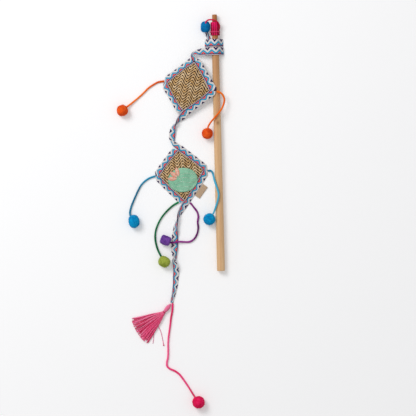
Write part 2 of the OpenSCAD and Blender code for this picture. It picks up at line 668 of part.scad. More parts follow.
backing_shares = [
  [0.96, -0.04], [0.96, 0.04], [0.04, 0.96], [-0.04, 0.96],
  [-0.96, 0.04], [-0.96, -0.04], [-0.04, -0.96], [0.04, -0.96]];
module backing(kite) {
  color(canvas)
    translate([kite[0], kite[1], kite[2]]) rotate([0, -kite[4], 0]) rotate([0, 0, kite[3]])
      translate([0, 0, backing_z]) linear_extrude(backing_t)
        polygon([for (p = backing_shares)
          [p[0] * half_w * seam_scale, p[1] * half_l * seam_scale]]);
}

// Felt patch on the lower mat: rings of an oval that follow the crown
patch_place_shares = [0.026, -0.17];
patch_ring_shares = [0.25, 0.5, 0.75, 1];
patch_sides = 24;
function share_on_mat(x, y) =
  let (a = x / (half_w * seam_scale), b = y / (half_l * seam_scale)) [a + b, a - b];
function mat_top(x, y) = let (st = share_on_mat(x, y)) mat_under(st[0], st[1]) + mat_t;
function patch_point(ring, k, lift) =
  let (x = patch_place_shares[0] * half_w + ring * patch_w / 2 * cos(360 * k / patch_sides),
       y = patch_place_shares[1] * half_l + ring * patch_h / 2 * sin(360 * k / patch_sides))
  on_kite(lower_kite, [x, y, mat_top(x, y) + lift]);
patch_lift = 3 * layer_gap;
module felt_patch() {
  rings = concat(
    [for (r = patch_ring_shares) [r, patch_lift]],
    [for (i = [len(patch_ring_shares) - 1 : -1 : 0])
      [patch_ring_shares[i], patch_lift + patch_t]]);
  color("#82b996") polyhedron(
    [for (ring = rings, k = [0 : patch_sides - 1]) patch_point(ring[0], k, ring[1])],
    tube_faces(len(rings), patch_sides), convexity = 4);
}

// Leaf motif: three pointed leaves fanned from one point of the patch
motif_place_shares = [-0.1, -0.18];
motif_angles = [100, 138, 176];
motif_start_share = 0.25;
motif_width_share = 0.2;
leaf_steps = 6;
function leaf_point(angle, i, side, lift) =
  let (along = leaf_len * (motif_start_share + i / leaf_steps),
       aside = side * leaf_len * motif_width_share * (0.12 + sin(180 * i / leaf_steps)),
       x = motif_place_shares[0] * half_w + along * cos(angle) - aside * sin(angle),
       y = motif_place_shares[1] * half_l + along * sin(angle) + aside * cos(angle))
  on_kite(lower_kite, [x, y, mat_top(x, y) + lift]);
module leaf_motif() {
  base = patch_lift + patch_t + patch_lift;
  color("#f0af9b") for (angle = motif_angles)
    polyhedron(
      [for (i = [0 : leaf_steps]) each [
        leaf_point(angle, i, -1, base), leaf_point(angle, i, 1, base),
        leaf_point(angle, i, 1, base + motif_t), leaf_point(angle, i, -1, base + motif_t)]],
      tube_faces(leaf_steps + 1, 4), convexity = 3);
}

// Side tag: a folded loop that leaves the seam of the lower kite's lower right side
tag_start_share = 0.29;
module side_tag() {
  run = [-half_w, -half_l] / mat_side;
  out = [half_l, -half_w] / mat_side;
  from = [half_w, 0] + run * mat_side * tag_start_share + out * (ribbon_w + joint_gap);
  angle = atan2(run[1], run[0]);
  inner_l = tag_w - tag_layer_t;
  color("#a5826e") translate([lower_x, lower_y, 0]) rotate([0, 0, lower_turn])
    translate([from[0], from[1], 0]) rotate([0, 0, angle]) rotate([90, 0, 90])
      linear_extrude(tag_l) difference() {
        square([tag_w, tag_t]);
        translate([-tag_layer_t, tag_layer_t]) square([inner_l, tag_t - 2 * tag_layer_t]);
      }
}

// Tassel, measured along its own axis from its top
tassel_angle = -129;
tassel_place = [tail_end[0] - ribbon_w * 0.13, tail_end[1] + ribbon_w * 0.02];
module on_tassel() {
  translate([tassel_place[0], tassel_place[1], 0]) rotate([0, 0, tassel_angle]) children();
}
head_shares = [[0, 0], [0.18, 0.45], [0.34, 0.85], [0.5, 1], [0.7, 0.78], [0.88, 0.3], [1, 0]];
function head_r(share) =
  (share[1] * head_d + (1 - share[1]) * (share[0] < 0.4 ? head_top_d : neck_d)) / 2;
neck_len = tie_w + 2 * layer_gap;
module tassel_head() {
  color("#eb508c") on_tassel() translate([0, 0, head_d / 2]) rotate([0, 90, 0])
    rotate_extrude()
      polygon(concat(
        [[0, 0]], [for (s = head_shares) [head_r(s), s[0] * head_len]],
        [[neck_d / 2, head_len + neck_len], [0, head_len + neck_len]]));
}
module tassel_tie() {
  color("#be143c") on_tassel() translate([head_len + layer_gap, 0, head_d / 2])
    rotate([0, 90, 0]) difference() {
      cylinder(tie_w, r = neck_d / 2 + layer_gap + tie_t);
      translate([0, 0, -tie_w]) cylinder(3 * tie_w, r = neck_d / 2 + layer_gap);
    }
}
// Skirt edges, as shares of its length: along and aside for the left edge, then the right one
skirt_left_shares = [[0, -0.045], [0.25, -0.26], [0.49, -0.445], [0.703, -0.631]];
skirt_right_shares = [[0, 0.04], [0.32, 0.116], [0.61, 0.155], [0.98, 0.21]];
skirt_height_shares = [0.66, 0.85, 0.7, 0.45];
skirt_bulge_shares = [0, 0.03, 0.07, 0.12];
skirt_sides = 16;
skirt_start = head_len + neck_len + layer_gap;
function skirt_point(i, k) =
  let (a = 360 * k / skirt_sides,
       left = skirt_left_shares[i], right = skirt_right_shares[i],
       mid = (left + right) / 2, half = (right - left) / 2,
       h = head_d * skirt_height_shares[i],
       low = i == 0 ? (head_d - h) / 2 : 0,
       place = mid + half * cos(a) + [skirt_bulge_shares[i] * abs(sin(a)), 0])
  [skirt_start + place[0] * skirt_len, place[1] * skirt_len, low + h * (1 + sin(a)) / 2];
module tassel_skirt() {
  color("#eb508c") on_tassel() polyhedron(
    [for (i = [0 : len(skirt_left_shares) - 1], k = [0 : skirt_sides - 1]) skirt_point(i, k)],
    tube_faces(len(skirt_left_shares), skirt_sides), convexity = 4);
}
// Two stray strands on the skirt's right edge, along and aside as shares of its length
stray_shares = [
  [[0.65, 0.158], [0.76, 0.235], [0.91, 0.33]],
  [[0.4, 0.119], [0.5, 0.31], [0.61, 0.45], [0.746, 0.61]]];
stray_sides = 6;
module tassel_strays() {
  color("#eb508c") on_tassel() for (shares = stray_shares)
    tube([for (s = shares) [skirt_start + s[0] * skirt_len, s[1] * skirt_len, stray_d / 2]],
         stray_d, stray_sides);
}

// Shades of the felt balls
blue_felt = "#0a82be";
orange_felt = "#eb5014";
olive_felt = "#96a53c";
purple_felt = "#69379b";
pink_felt = "#d70f4b";
module tip_pompom() {
  pompom(pompom_at(tip_route, 0, 0, tip_pompom_w) + [0, 0, wrap_t + joint_gap],
         tip_pompom_w, tip_pompom_l, 0, blue_felt);
}
module orange_pompom_left() {
  pompom(pompom_at(orange_left_route, -orange_left_d * 0.28, -orange_left_d * 0.24, orange_left_d),
         orange_left_d, orange_left_d, 0, orange_felt);
}
module orange_pompom_right() {
  pompom(pompom_at(orange_right_route, 0, -orange_right_d * 0.3, orange_right_d),
         orange_right_d, orange_right_d, 0, orange_felt);
}
blue_left_turn = 12;
module blue_pompom_left() {
  pompom(pompom_at(blue_left_route, blue_left_l * 0.2, -blue_left_l * 0.27, blue_left_w),
         blue_left_w, blue_left_l, blue_left_turn, blue_felt);
}
module blue_pompom_right() {
  pompom(pompom_at(blue_right_route, -blue_right_d * 0.2, -blue_right_d * 0.26, blue_right_d),
         blue_right_d, blue_right_d, 0, blue_felt);
}
olive_turn = 64;
module olive_pompom() {
  pompom(pompom_at(green_route, olive_l * 0.14, -olive_l * 0.27, olive_w),
         olive_w, olive_l, olive_turn, olive_felt);
}
purple_turn = 90;
module purple_pompom() {
  pompom(pompom_at(purple_route, -purple_l * 0.26, purple_l * 0.14, purple_w),
         purple_w, purple_l, purple_turn, purple_felt);
}
module pink_pompom() {
  pompom(pompom_at(pink_route, pink_d * 0.17, -pink_d * 0.2, pink_d),
         pink_d, pink_d, 0, pink_felt);
}

dowel();
ribbon_wrap();
ribbon_run();
ribbon_end();
tip_laces();
lace_binding();
lace(tip_route, tip_lace_d, lace_pink);  // tip_lace
tip_pompom();
strip(lead_rings);  // ribbon_lead
mat(upper_kite);  // upper_mat
filling(upper_kite);  // upper_filling
backing(upper_kite);  // upper_backing
strip(upper_left_rings);  // upper_border_left
strip(upper_right_rings);  // upper_border_right
strip(link_upper_rings);  // ribbon_link_upper
strip(link_lower_rings);  // ribbon_link_lower
mat(lower_kite);  // lower_mat
filling(lower_kite);  // lower_filling
backing(lower_kite);  // lower_backing
strip(lower_left_rings);  // lower_border_left
strip(lower_right_rings);  // lower_border_right
felt_patch();
leaf_motif();
strip(tail_upper_rings);  // ribbon_tail_upper
side_tag();
strip(tail_lower_rings);  // ribbon_tail_lower
tassel_head();
tassel_tie();
tassel_skirt();
tassel_strays();
lace(orange_left_route, lace_d, lace_orange);  // orange_lace_left
orange_pompom_left();
lace(orange_right_route, lace_d, lace_orange);  // orange_lace_right
orange_pompom_right();
lace(blue_left_route, lace_d, lace_blue);  // blue_lace_left
blue_pompom_left();
lace(blue_right_route, lace_d, lace_blue);  // blue_lace_right
blue_pompom_right();
lace(green_route, lace_d, lace_green);  // green_lace
olive_pompom();
lace(purple_route, lace_d, lace_purple);  // purple_lace
purple_pompom();
lace(pink_route, lace_d, lace_pink);  // pink_lace
pink_pompom();
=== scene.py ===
import math
import random

import bmesh
import bpy
import numpy as np
from mathutils import Matrix, Vector, noise


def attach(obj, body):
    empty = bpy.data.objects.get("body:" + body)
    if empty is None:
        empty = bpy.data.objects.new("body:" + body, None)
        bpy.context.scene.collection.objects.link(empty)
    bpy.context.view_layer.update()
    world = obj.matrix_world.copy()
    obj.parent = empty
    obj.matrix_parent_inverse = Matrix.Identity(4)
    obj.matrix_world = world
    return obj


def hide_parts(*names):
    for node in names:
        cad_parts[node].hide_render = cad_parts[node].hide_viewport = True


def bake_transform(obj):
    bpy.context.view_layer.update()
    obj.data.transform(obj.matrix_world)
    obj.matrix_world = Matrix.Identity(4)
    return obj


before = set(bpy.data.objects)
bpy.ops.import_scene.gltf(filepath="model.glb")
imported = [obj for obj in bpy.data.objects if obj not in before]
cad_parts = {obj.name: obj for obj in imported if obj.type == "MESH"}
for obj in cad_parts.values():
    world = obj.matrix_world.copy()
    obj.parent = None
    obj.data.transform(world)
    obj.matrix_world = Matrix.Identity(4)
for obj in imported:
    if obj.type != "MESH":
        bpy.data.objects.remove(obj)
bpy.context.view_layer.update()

mm = 0.001
up = np.array([0.0, 0.0, 1.0])


# Small helpers: lengths below are in millimetres until a mesh is made
def unit(v):
    v = np.asarray(v, float)
    return v / max(np.linalg.norm(v), 1e-9)


def tint(r, g, b):  # picture colour 0..255 to a linear socket colour
    shares = (r / 255, g / 255, b / 255)
    return (*(c / 12.92 if c <= 0.04045 else ((c + 0.055) / 1.055) ** 2.4 for c in shares), 1)


# A smooth curve through rows of numbers; the first columns, as many as lead says, are the place
def smoothRows(rows, step=None, count=None, lead=3):
    rows = np.asarray(rows, float)
    gaps = np.linalg.norm(np.diff(rows[:, :lead], axis=0), axis=1)
    t = np.concatenate([[0], np.cumsum(np.maximum(gaps, 1e-6))])
    slope = np.gradient(rows, t, axis=0)
    s = np.linspace(0, t[-1], count or max(2, int(math.ceil(t[-1] / step)) + 1))
    i = np.clip(np.searchsorted(t, s, side="right") - 1, 0, len(t) - 2)
    h = (t[i + 1] - t[i])[:, None]
    x = (s - t[i])[:, None] / h
    return ((2 * x**3 - 3 * x**2 + 1) * rows[i] + (x**3 - 2 * x**2 + x) * h * slope[i]
            + (3 * x**2 - 2 * x**3) * rows[i + 1] + (x**3 - x**2) * h * slope[i + 1])


def running(points):  # length of a line up to each of its points
    return np.concatenate([[0], np.cumsum(np.linalg.norm(np.diff(points, axis=0), axis=1))])


def dense(corners, step=0.6):  # points along straight pieces, without the last corner
    out = []
    for p, q in zip(corners, corners[1:]):
        n = max(1, int(math.dist(p, q) / step))
        out += [(p[0] + (q[0] - p[0]) * k / n, p[1] + (q[1] - p[1]) * k / n) for k in range(n)]
    return out


def normals(line):  # left-hand normals of a flat line
    t = np.gradient(line, axis=0)
    return np.stack([-t[:, 1], t[:, 0]], 1) / np.linalg.norm(t, axis=1)[:, None]


def makeMesh(name, points, faces, uv=None, sharp=42, edges=(), marks=None):
    mesh = bpy.data.meshes.new(name)
    places, corners = (np.asarray(points, float) * mm).tolist(), [list(map(int, f)) for f in faces]
    mesh.from_pydata(places, list(edges), corners)
    if len(faces):
        bm = bmesh.new()
        bm.from_mesh(mesh)
        if bm.calc_volume(signed=True) < 0:
            bmesh.ops.reverse_faces(bm, faces=bm.faces)
        bm.to_mesh(mesh)
        bm.free()
        if uv is not None:
            layer = mesh.uv_layers.new(name="Cloth")
            index = np.zeros(len(mesh.loops), int)
            mesh.loops.foreach_get("vertex_index", index)
            layer.data.foreach_set("uv", np.asarray(uv, np.float32)[index].ravel())
        mesh.polygons.foreach_set("use_smooth", [True] * len(mesh.polygons))
        mesh.set_sharp_from_angle(angle=math.radians(sharp))
    for label, values in (marks or {}).items():
        mesh.attributes.new(label, "FLOAT", "POINT").data.foreach_set("value", np.asarray(values, np.float32))
    mesh.update()
    piece = bpy.data.objects.new(name, mesh)
    bpy.context.scene.collection.objects.link(piece)
    return piece


def finishPiece(piece, body, material, slot, *nodes):
    places = np.zeros(3 * len(piece.data.vertices), np.float32)
    piece.data.vertices.foreach_get("co", places)
    places[2::3] = np.maximum(places[2::3], 0.00004)  # nothing reaches below the floor
    piece.data.vertices.foreach_set("co", places)
    if material:
        piece.data.materials.clear()
        piece.data.materials.append(material)
    if body:
        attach(piece, body)
    if nodes:
        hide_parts(*nodes)
    return piece


def gridFaces(rows, columns, closed=False, base=0):
    return [(base + i * columns + j, base + i * columns + (j + 1) % columns,
             base + (i + 1) * columns + (j + 1) % columns, base + (i + 1) * columns + j)
            for i in range(rows - 1) for j in range(columns if closed else columns - 1)]


def rodFaces(rows, n):  # rings of points, then the middles of the first and the last ring
    fans = [[(first + j, first + (j + 1) % n, rows * n + k) for j in range(n)]
            for k, first in enumerate((0, (rows - 1) * n))]
    return gridFaces(rows, n, True) + [f[::-1] for f in fans[0]] + fans[1]


def bandFaces(rows, n, loop=False):  # rings of a folded band: joined to a loop, or with a strip over each end
    last = (rows - 1) * n
    if loop:
        return gridFaces(rows, n, True) + [(last + j, last + (j + 1) % n, (j + 1) % n, j) for j in range(n)]
    ends = [[(base + j, base + j + 1, base + n - 2 - j, base + n - 1 - j) for j in range(n // 2 - 1)]
            for base in (0, last)]
    return gridFaces(rows, n, True) + [f[::-1] for f in ends[0]] + ends[1]


def slabFaces(n):  # an upper and a lower square grid with a rim between them
    rim = [*range(n), *range(2 * n - 1, n * n, n), *range(n * n - 2, n * n - n - 1, -1),
           *range((n - 2) * n, 0, -n)]
    under, grid = n * n, gridFaces(n, n)
    return grid + [tuple(under + c for c in f[::-1]) for f in grid] + \
        [(a, b, under + b, under + a) for a, b in zip(rim, rim[1:] + rim[:1])]


def frames(path):  # tangent, side and top directions carried along a path without sudden turns
    path = np.asarray(path, float)
    t = np.gradient(path, axis=0)
    t /= np.linalg.norm(t, axis=1)[:, None]
    side = unit(np.cross(t[0], up)) if abs(t[0][2]) < 0.95 else np.array([1.0, 0, 0])
    out = []
    for k in range(len(path)):
        side = unit(side - t[k] * np.dot(side, t[k]))
        out.append((t[k], side, np.cross(side, t[k])))
    return out


laceSection = [1, 0.97, 0.9, 0.88, 0.9, 0.97] * 2  # shares of the radius round a lace


def laceTube(name, path, radius, turn):
    n, along = len(laceSection), running(path)
    radius = np.broadcast_to(radius, len(path))
    points, uv = [], []
    for k, (_, side, top) in enumerate(frames(path)):
        for j, share in enumerate(laceSection):
            a, p = 2 * math.pi * j / n + turn * along[k], share * radius[k]
            points.append(path[k] + side * p * math.cos(a) + top * p * math.sin(a))
            uv.append((j / n, along[k]))
    uv += [(0.5, 0), (0.5, along[-1])]
    return makeMesh(name, points + [path[0], path[-1]], rodFaces(len(path), n), uv, 60)


# Node tree helpers
class Graph:
    def __init__(self, tree):
        self.tree = tree

    def add(self, kind, inputs=None, **props):
        node = self.tree.nodes.new(kind)
        for key, value in props.items():
            setattr(node, key, value)
        for key, value in (inputs or {}).items():
            self.put(node.inputs[key], value)
        return node

    def one(self, kind, inputs=None, **props):
        return self.add(kind, inputs, **props).outputs[0]

    def put(self, socket, value):
        if isinstance(value, bpy.types.NodeSocket):
            self.tree.links.new(value, socket)
        elif value is not None:
            socket.default_value = value

    def math(self, operation, a, b=None, c=None):
        return self.one("ShaderNodeMath", {0: a, 1: b, 2: c}, operation=operation)

    def mul(self, a, b):
        return self.math("MULTIPLY", a, b)

    def plus(self, a, b):
        return self.math("ADD", a, b)

    def size(self, a):
        return self.math("ABSOLUTE", a)

    def vec(self, operation, a, b):
        return self.one("ShaderNodeVectorMath", {0: a, 1: b}, operation=operation)

    def split(self, vector):
        return self.add("ShaderNodeSeparateXYZ", {0: vector}).outputs

    def xyz(self, x, y, z):
        return self.one("ShaderNodeCombineXYZ", {0: x, 1: y, 2: z})

    def mix(self, share, a, b):
        return self.add("ShaderNodeMix", {0: share, 6: a, 7: b}, data_type="RGBA").outputs[2]

    def stain(self, value, low, high, share, a, b):  # up to a share of b over a where the value is high
        return self.mix(self.mul(self.remap(value, low, high), share), a, b)

    def noise(self, vector, scale, detail=2, rough=0.5):
        return self.one("ShaderNodeTexNoise",
                        {"Vector": vector, "Scale": scale, "Detail": detail, "Roughness": rough})

    def remap(self, value, low, high, newLow=0.0, newHigh=1.0):
        return self.one("ShaderNodeMapRange", {0: value, 1: low, 2: high, 3: newLow, 4: newHigh})

    def mark(self, name):
        return self.add("ShaderNodeAttribute", attribute_name=name).outputs["Fac"]

    def object(self):
        return self.add("ShaderNodeTexCoord").outputs["Object"]

    def cloth(self):
        return self.one("ShaderNodeUVMap", uv_map="Cloth")

    def group(self, tree, **values):
        return self.add("ShaderNodeGroup", values, node_tree=tree).outputs

    def named(self, name):
        return self.one("GeometryNodeInputNamedAttribute", {"Name": name}, data_type="FLOAT")

    def draw(self, low, high, seed):
        return self.add("FunctionNodeRandomValue", {2: low, 3: high, "Seed": seed},
                        data_type="FLOAT").outputs[1]

    def store(self, mesh, name, value, domain):
        return self.one("GeometryNodeStoreNamedAttribute", {"Geometry": mesh, "Name": name, "Value": value},
                        data_type="FLOAT", domain=domain)

    def bow(self, resolution, start, middle, end, radius):
        curve = self.one("GeometryNodeCurveQuadraticBezier",
                         {"Resolution": resolution, "Start": start, "Middle": middle, "End": end})
        return self.one("GeometryNodeSetCurveRadius", {"Curve": curve, "Radius": radius})

    def sweep(self, curve, profile, radius=None):
        node = self.add("GeometryNodeCurveToMesh",
                        {"Curve": curve, "Profile Curve": profile, "Fill Caps": True})
        if "Scale" in node.inputs:
            self.put(node.inputs["Scale"], radius)
        return node.outputs[0]

    def join(self, parts):
        node = self.add("GeometryNodeJoinGeometry")
        for part in parts:
            self.tree.links.new(part, node.inputs[0])
        return node.outputs[0]

    def result(self, o, mesh, material):
        self.put(o["Geometry"], self.one("GeometryNodeSetMaterial", {"Geometry": mesh, "Material": material}))
        return self.tree


def nodeGroup(kind, name, inputs, outputs):  # a socket is given by its kind, or by its first value
    tree = bpy.data.node_groups.new(name, kind + "NodeTree")
    words = {float: "Float", int: "Int", tuple: "Color"}
    for way, sockets in (("INPUT", inputs), ("OUTPUT", outputs)):
        for label, value in sockets.items():
            word = value if isinstance(value, str) else words[type(value)]
            socket = tree.interface.new_socket(label, in_out=way, socket_type="NodeSocket" + word)
            if word != value:
                socket.default_value = value
    g = Graph(tree)
    return g, g.add("NodeGroupInput").outputs, g.add("NodeGroupOutput").inputs


def shaderGroup(name, **inputs):
    return nodeGroup("Shader", name, {"Vector": "Vector", **inputs}, {"Color": "Color", "Height": "Float"})


def geometryGroup(name, inputs):
    return nodeGroup("Geometry", name, {"Geometry": "Geometry", **inputs, "Material": "Material"},
                     {"Geometry": "Geometry"})


def grow(piece, tree, values):  # runs a geometry tree on a piece and keeps the result as its plain mesh
    modifier = piece.modifiers.new(tree.name, "NODES")
    modifier.node_group = tree
    for item in tree.interface.items_tree:
        if item.item_type == "SOCKET" and item.in_out == "INPUT" and item.name in values:
            modifier[item.identifier] = values[item.name]
    bpy.context.view_layer.update()
    graph = bpy.context.evaluated_depsgraph_get()
    mesh = bpy.data.meshes.new_from_object(piece.evaluated_get(graph), depsgraph=graph)
    piece.modifiers.remove(modifier)
    old = piece.data
    piece.data = mesh
    mesh.name = piece.name
    bpy.data.meshes.remove(old)


# Shared effects
g, i, o = nodeGroup("Shader", "fineWeave", {"Vector": "Vector", "Threads": 60.0},
                    {"Height": "Float", "Gap": "Float"})
warp, weft = (g.math("SINE", g.mul(g.mul(c, i["Threads"]), 6.2832)) for c in g.split(i["Vector"])[:2])
g.put(o["Height"], g.remap(g.mul(warp, weft), -1, 1))
g.put(o["Gap"], g.mul(*(g.math("POWER", g.size(c), 0.5) for c in (warp, weft))))
fineWeave = g.tree

g, i, o = shaderGroup("feltFibre", Base="Color", Deep="Color", Pale="Color", Fibre=900.0, Patch=220.0)
blotch = g.noise(i["Vector"], i["Patch"], 3, 0.6)
fine = g.one("ShaderNodeTexNoise",
             {"Vector": i["Vector"], "Scale": i["Fibre"], "Detail": 3.0, "Distortion": 1.6})
shade = g.mix(g.remap(blotch, 0.38, 0.62), i["Deep"], i["Base"])
g.put(o["Color"], g.stain(fine, 0.52, 0.75, 0.7, shade, i["Pale"]))
g.put(o["Height"], g.plus(g.mul(fine, 0.7), g.mul(blotch, 0.5)))
feltFibre = g.tree

g, i, o = shaderGroup("suedeNap", Along="Vector", Base="Color", Deep="Color", Pale="Color")
slow = g.noise(i["Vector"], 30.0, 1, 0.5)
nap = g.noise(i["Vector"], 1900.0, 3, 0.6)
stripe = g.noise(g.vec("MULTIPLY", i["Along"], (5.0, 0.09, 1.0)), 1.6, 2, 0.5)
shade = g.mix(g.remap(slow, 0.4, 0.5), i["Deep"], i["Base"])
shade = g.stain(slow, 0.5, 0.6, 0.8, shade, i["Pale"])
shade = g.stain(stripe, 0.5, 0.72, 0.75, shade, i["Pale"])
g.put(o["Color"], g.stain(nap, 0.45, 0.7, 0.22, shade, i["Pale"]))
g.put(o["Height"], g.plus(nap, g.mul(stripe, 0.6)))
suedeNap = g.tree

# The ribbon's weave: u counts repeats along it, v runs from the open edge in shares of the border's width
ribbonWeave = {"repeat": 9.25, "full": 6.6, "zero": 0.2, "edge": 0.085, "line": 0.215, "slope": 0.52,
               "flame": 0.34, "wave": 0.69, "steep": 0.77, "diamond": 1.22, "heart": 1.56, "seed": 0.14,
               "threads": (34.0, 30.0)}
ribbonShades = {"edge": (204, 194, 206), "line": (52, 30, 92), "flame": (252, 66, 0),
                "seed": (186, 170, 204), "wave": (66, 166, 202), "gap": (232, 226, 224),
                "diamond": (36, 12, 76), "heart": (222, 216, 226)}
g, i, o = shaderGroup("wovenBand", **{k: tint(*v) for k, v in ribbonShades.items()})
w = ribbonWeave
parts = list(zip(g.split(i["Vector"])[:2], w["threads"]))
stepU, stepV = (g.math("DIVIDE", g.math("FLOOR", g.mul(c, n)), n) for c, n in parts)
cell = g.mul(g.size(g.math("SUBTRACT", g.math("FRACT", stepU), 0.5)), 2.0)
rise = g.math("SUBTRACT", stepV, w["zero"])
field, steep = (g.plus(rise, g.mul(cell, w[k])) for k in ("slope", "steep"))
shade = g.mix(g.math("LESS_THAN", steep, w["seed"]), i["flame"], i["seed"])
for value, limit, colour in ((field, "flame", "wave"), (field, "wave", "gap"), (steep, "diamond", "diamond"),
                             (steep, "heart", "heart")):
    shade = g.mix(g.math("GREATER_THAN", value, w[limit]), shade, i[colour])
for k in ("line", "edge"):
    shade = g.mix(g.math("LESS_THAN", stepV, w[k] - 0.005), shade, i[k])
weave = g.mul(*(g.math("SINE", g.mul(c, n * 6.2832)) for c, n in parts))
# painted shade: the weave's hollows are painted darker, towards near black
shade = g.stain(weave, 0.1, -0.9, 0.24, shade, (0.02, 0.015, 0.03, 1))
g.put(o["Color"], g.stain(g.noise(i["Vector"], 7.0, 3, 0.6), 0.45, 0.75, 0.14, shade, (0.25, 0.2, 0.25, 1)))
g.put(o["Height"], g.remap(weave, -1, 1))
wovenBand = g.tree


# Materials
def newMaterial(name, rough, specular, sheen=0.0, sheenTint=None):
    material = bpy.data.materials.new(name)
    material.use_nodes = True
    g, shader = Graph(material.node_tree), material.node_tree.nodes["Principled BSDF"].inputs
    for label, value in (("Roughness", rough), ("Specular IOR Level", specular), ("Sheen Weight", sheen),
                         ("Sheen Roughness", 0.5), ("Sheen Tint", sheenTint)):
        g.put(shader[label], value)
    return material, g, shader


def dress(made, colour, height, strength, distance):
    material, g, shader = made
    g.put(shader["Base Color"], colour)
    g.put(shader["Normal"],
          g.one("ShaderNodeBump", {"Height": height, "Strength": strength, "Distance": distance}))
    return material


def ribbonMaterial():
    made = newMaterial("wovenRibbon", 0.8, 0.1)
    out = made[1].group(wovenBand, Vector=made[1].cloth())
    return dress(made, out["Color"], out["Height"], 0.6, 0.00012)


def feltMaterial(name, base, deep, pale, fibre=900.0, patch=220.0):
    base, deep, pale = tint(*base), tint(*deep), tint(*pale)
    made = newMaterial(name + "Felt", 0.95, 0.1, 0.25, pale)
    out = made[1].group(feltFibre, Vector=made[1].object(), Base=base, Deep=deep, Pale=pale, Fibre=fibre,
                        Patch=patch)
    return dress(made, out["Color"], out["Height"], 0.7, 0.0003)


def suedeMaterial(name, base, deep, pale):
    base, deep, pale = tint(*base), tint(*deep), tint(*pale)
    made = newMaterial(name + "Suede", 0.78, 0.2, 0.3, pale)
    out = made[1].group(suedeNap, Vector=made[1].object(), Along=made[1].cloth(), Base=base, Deep=deep,
                        Pale=pale)
    return dress(made, out["Color"], out["Height"], 0.5, 0.00015)


def yarnMaterial(name, base, deep, pale):
    base, deep, pale = tint(*base), tint(*deep), tint(*pale)
    made = newMaterial(name, 0.7, 0.3, 0.2, pale)
    g = made[1]
    tone, fine = g.mark("tone"), g.noise(g.object(), 700.0, 3, 0.6)
    shade = g.stain(tone, 0.55, 1.0, 0.9, g.mix(g.remap(tone, 0.0, 0.5), deep, base), pale)
    return dress(made, g.stain(fine, 0.5, 0.8, 0.35, shade, pale), fine, 0.4, 0.0001)


def woodMaterial():
    made = newMaterial("stickWood", 0.55, 0.35)
    g = made[1]
    spot = g.one("ShaderNodeMapping", {"Vector": g.object(), "Location": (-0.0397, 0, -0.0044),
                                       "Rotation": (0, 0, math.radians(-1.46))})
    grain, bands, pores = (g.noise(g.vec("MULTIPLY", spot, (wide, long, wide)), 1.0, detail, rough)
                           for wide, long, detail, rough in ((900.0, 26.0, 4, 0.6), (260.0, 7.0, 3, 0.5),
                                                             (2600.0, 110.0, 2, 0.5)))
    shade = g.mix(g.remap(bands, 0.35, 0.65), tint(210, 166, 120), tint(228, 190, 144))
    shade = g.stain(grain, 0.5, 0.75, 0.35, shade, tint(180, 132, 86))
    shade = g.stain(pores, 0.6, 0.75, 0.35, shade, tint(132, 90, 56))
    along = g.split(spot)[1]  # painted shade: the stick is painted darker and browner towards its tip, a painted shadow of the upper kite, and darker still above the ribbon wrap
    kiteShadowBrown = g.mix(bands, tint(150, 88, 42), tint(186, 122, 66))
    shade = g.mix(g.remap(along, 0.055, 0.172, 0.0, 0.85), shade, kiteShadowBrown)
    shade = g.mix(g.remap(along, 0.146, 0.156, 0.0, 0.55), shade, tint(158, 88, 30))
    g.put(made[2]["Roughness"], g.remap(grain, 0.3, 0.7, 0.48, 0.66))
    return dress(made, g.mix(g.mark("knot"), shade, tint(132, 84, 46)), g.plus(grain, g.mul(pores, 0.6)),
                 0.3, 0.00012)


def seagrassMaterial():
    made = newMaterial("seagrassStrand", 0.72, 0.25)
    g = made[1]
    spot = g.object()
    streak = g.noise(g.vec("MULTIPLY", spot, (1.0, 0.45, 1.0)), 1300.0, 3, 0.6)
    shade = g.mix(g.mark("tone"), tint(196, 156, 100), tint(226, 198, 158))
    shade = g.stain(g.noise(spot, 160.0, 2, 0.5), 0.46, 0.7, 0.55, shade, tint(176, 126, 58))
    shade = g.stain(streak, 0.56, 0.76, 0.4, shade, tint(134, 90, 44))
    # painted shade: where the base sheet shows between the strands it is painted near-black brown
    return dress(made, g.mix(g.mark("paintedSlotShade"), shade, tint(46, 24, 10)), streak, 0.6, 0.0002)


def clothMaterial(name, base, deep, threads):
    made = newMaterial(name, 0.85, 0.2, 0.1)
    g, uv = made[1], made[1].cloth()
    out = g.group(fineWeave, Vector=uv, Threads=threads)
    shade = g.mix(g.remap(g.noise(uv, 4.0, 3, 0.6), 0.35, 0.7), tint(*base), tint(*deep))
    return dress(made, g.mix(g.mul(out["Gap"], 0.35), tint(*deep), shade), out["Height"], 0.6, 0.00012)


def herbMaterial():
    made = newMaterial("driedHerb", 0.95, 0.1)
    flakes = made[1].noise(made[1].object(), 900.0, 4, 0.7)
    shade = made[1].mix(made[1].remap(flakes, 0.4, 0.65), tint(84, 92, 44), tint(140, 146, 86))
    return dress(made, shade, flakes, 0.9, 0.0006)


print("materials")
wovenRibbon, stickWood = ribbonMaterial(), woodMaterial()
seagrassStrand, driedHerb = seagrassMaterial(), herbMaterial()
canvasCloth = clothMaterial("canvasCloth", (217, 203, 178), (186, 170, 140), 2.2)
cottonTape = clothMaterial("cottonTape", (220, 195, 168), (190, 162, 134), 3.0)
felts = {name: feltMaterial(name, *row) for name, row in {
    "orange": ((242, 92, 26), (208, 62, 14), (252, 130, 66)),
    # painted shade: a darker copy of the blue felt, for the tip ball
    "shadedBlue": ((2, 118, 178), (0, 90, 150), (46, 150, 202)),
    "blue": ((0, 152, 208), (0, 118, 180), (54, 184, 226)),
    "olive": ((164, 178, 72), (128, 144, 48), (198, 210, 116)),
    "purple": ((120, 72, 164), (84, 44, 128), (154, 110, 198)),
    "pink": ((240, 26, 92), (206, 4, 64), (250, 78, 134)),
    "sage": ((144, 202, 170), (124, 184, 152), (190, 228, 206), 1200.0, 120.0),
    "salmon": ((240, 176, 156), (222, 144, 122), (252, 208, 190), 1400.0, 300.0)}.items()}
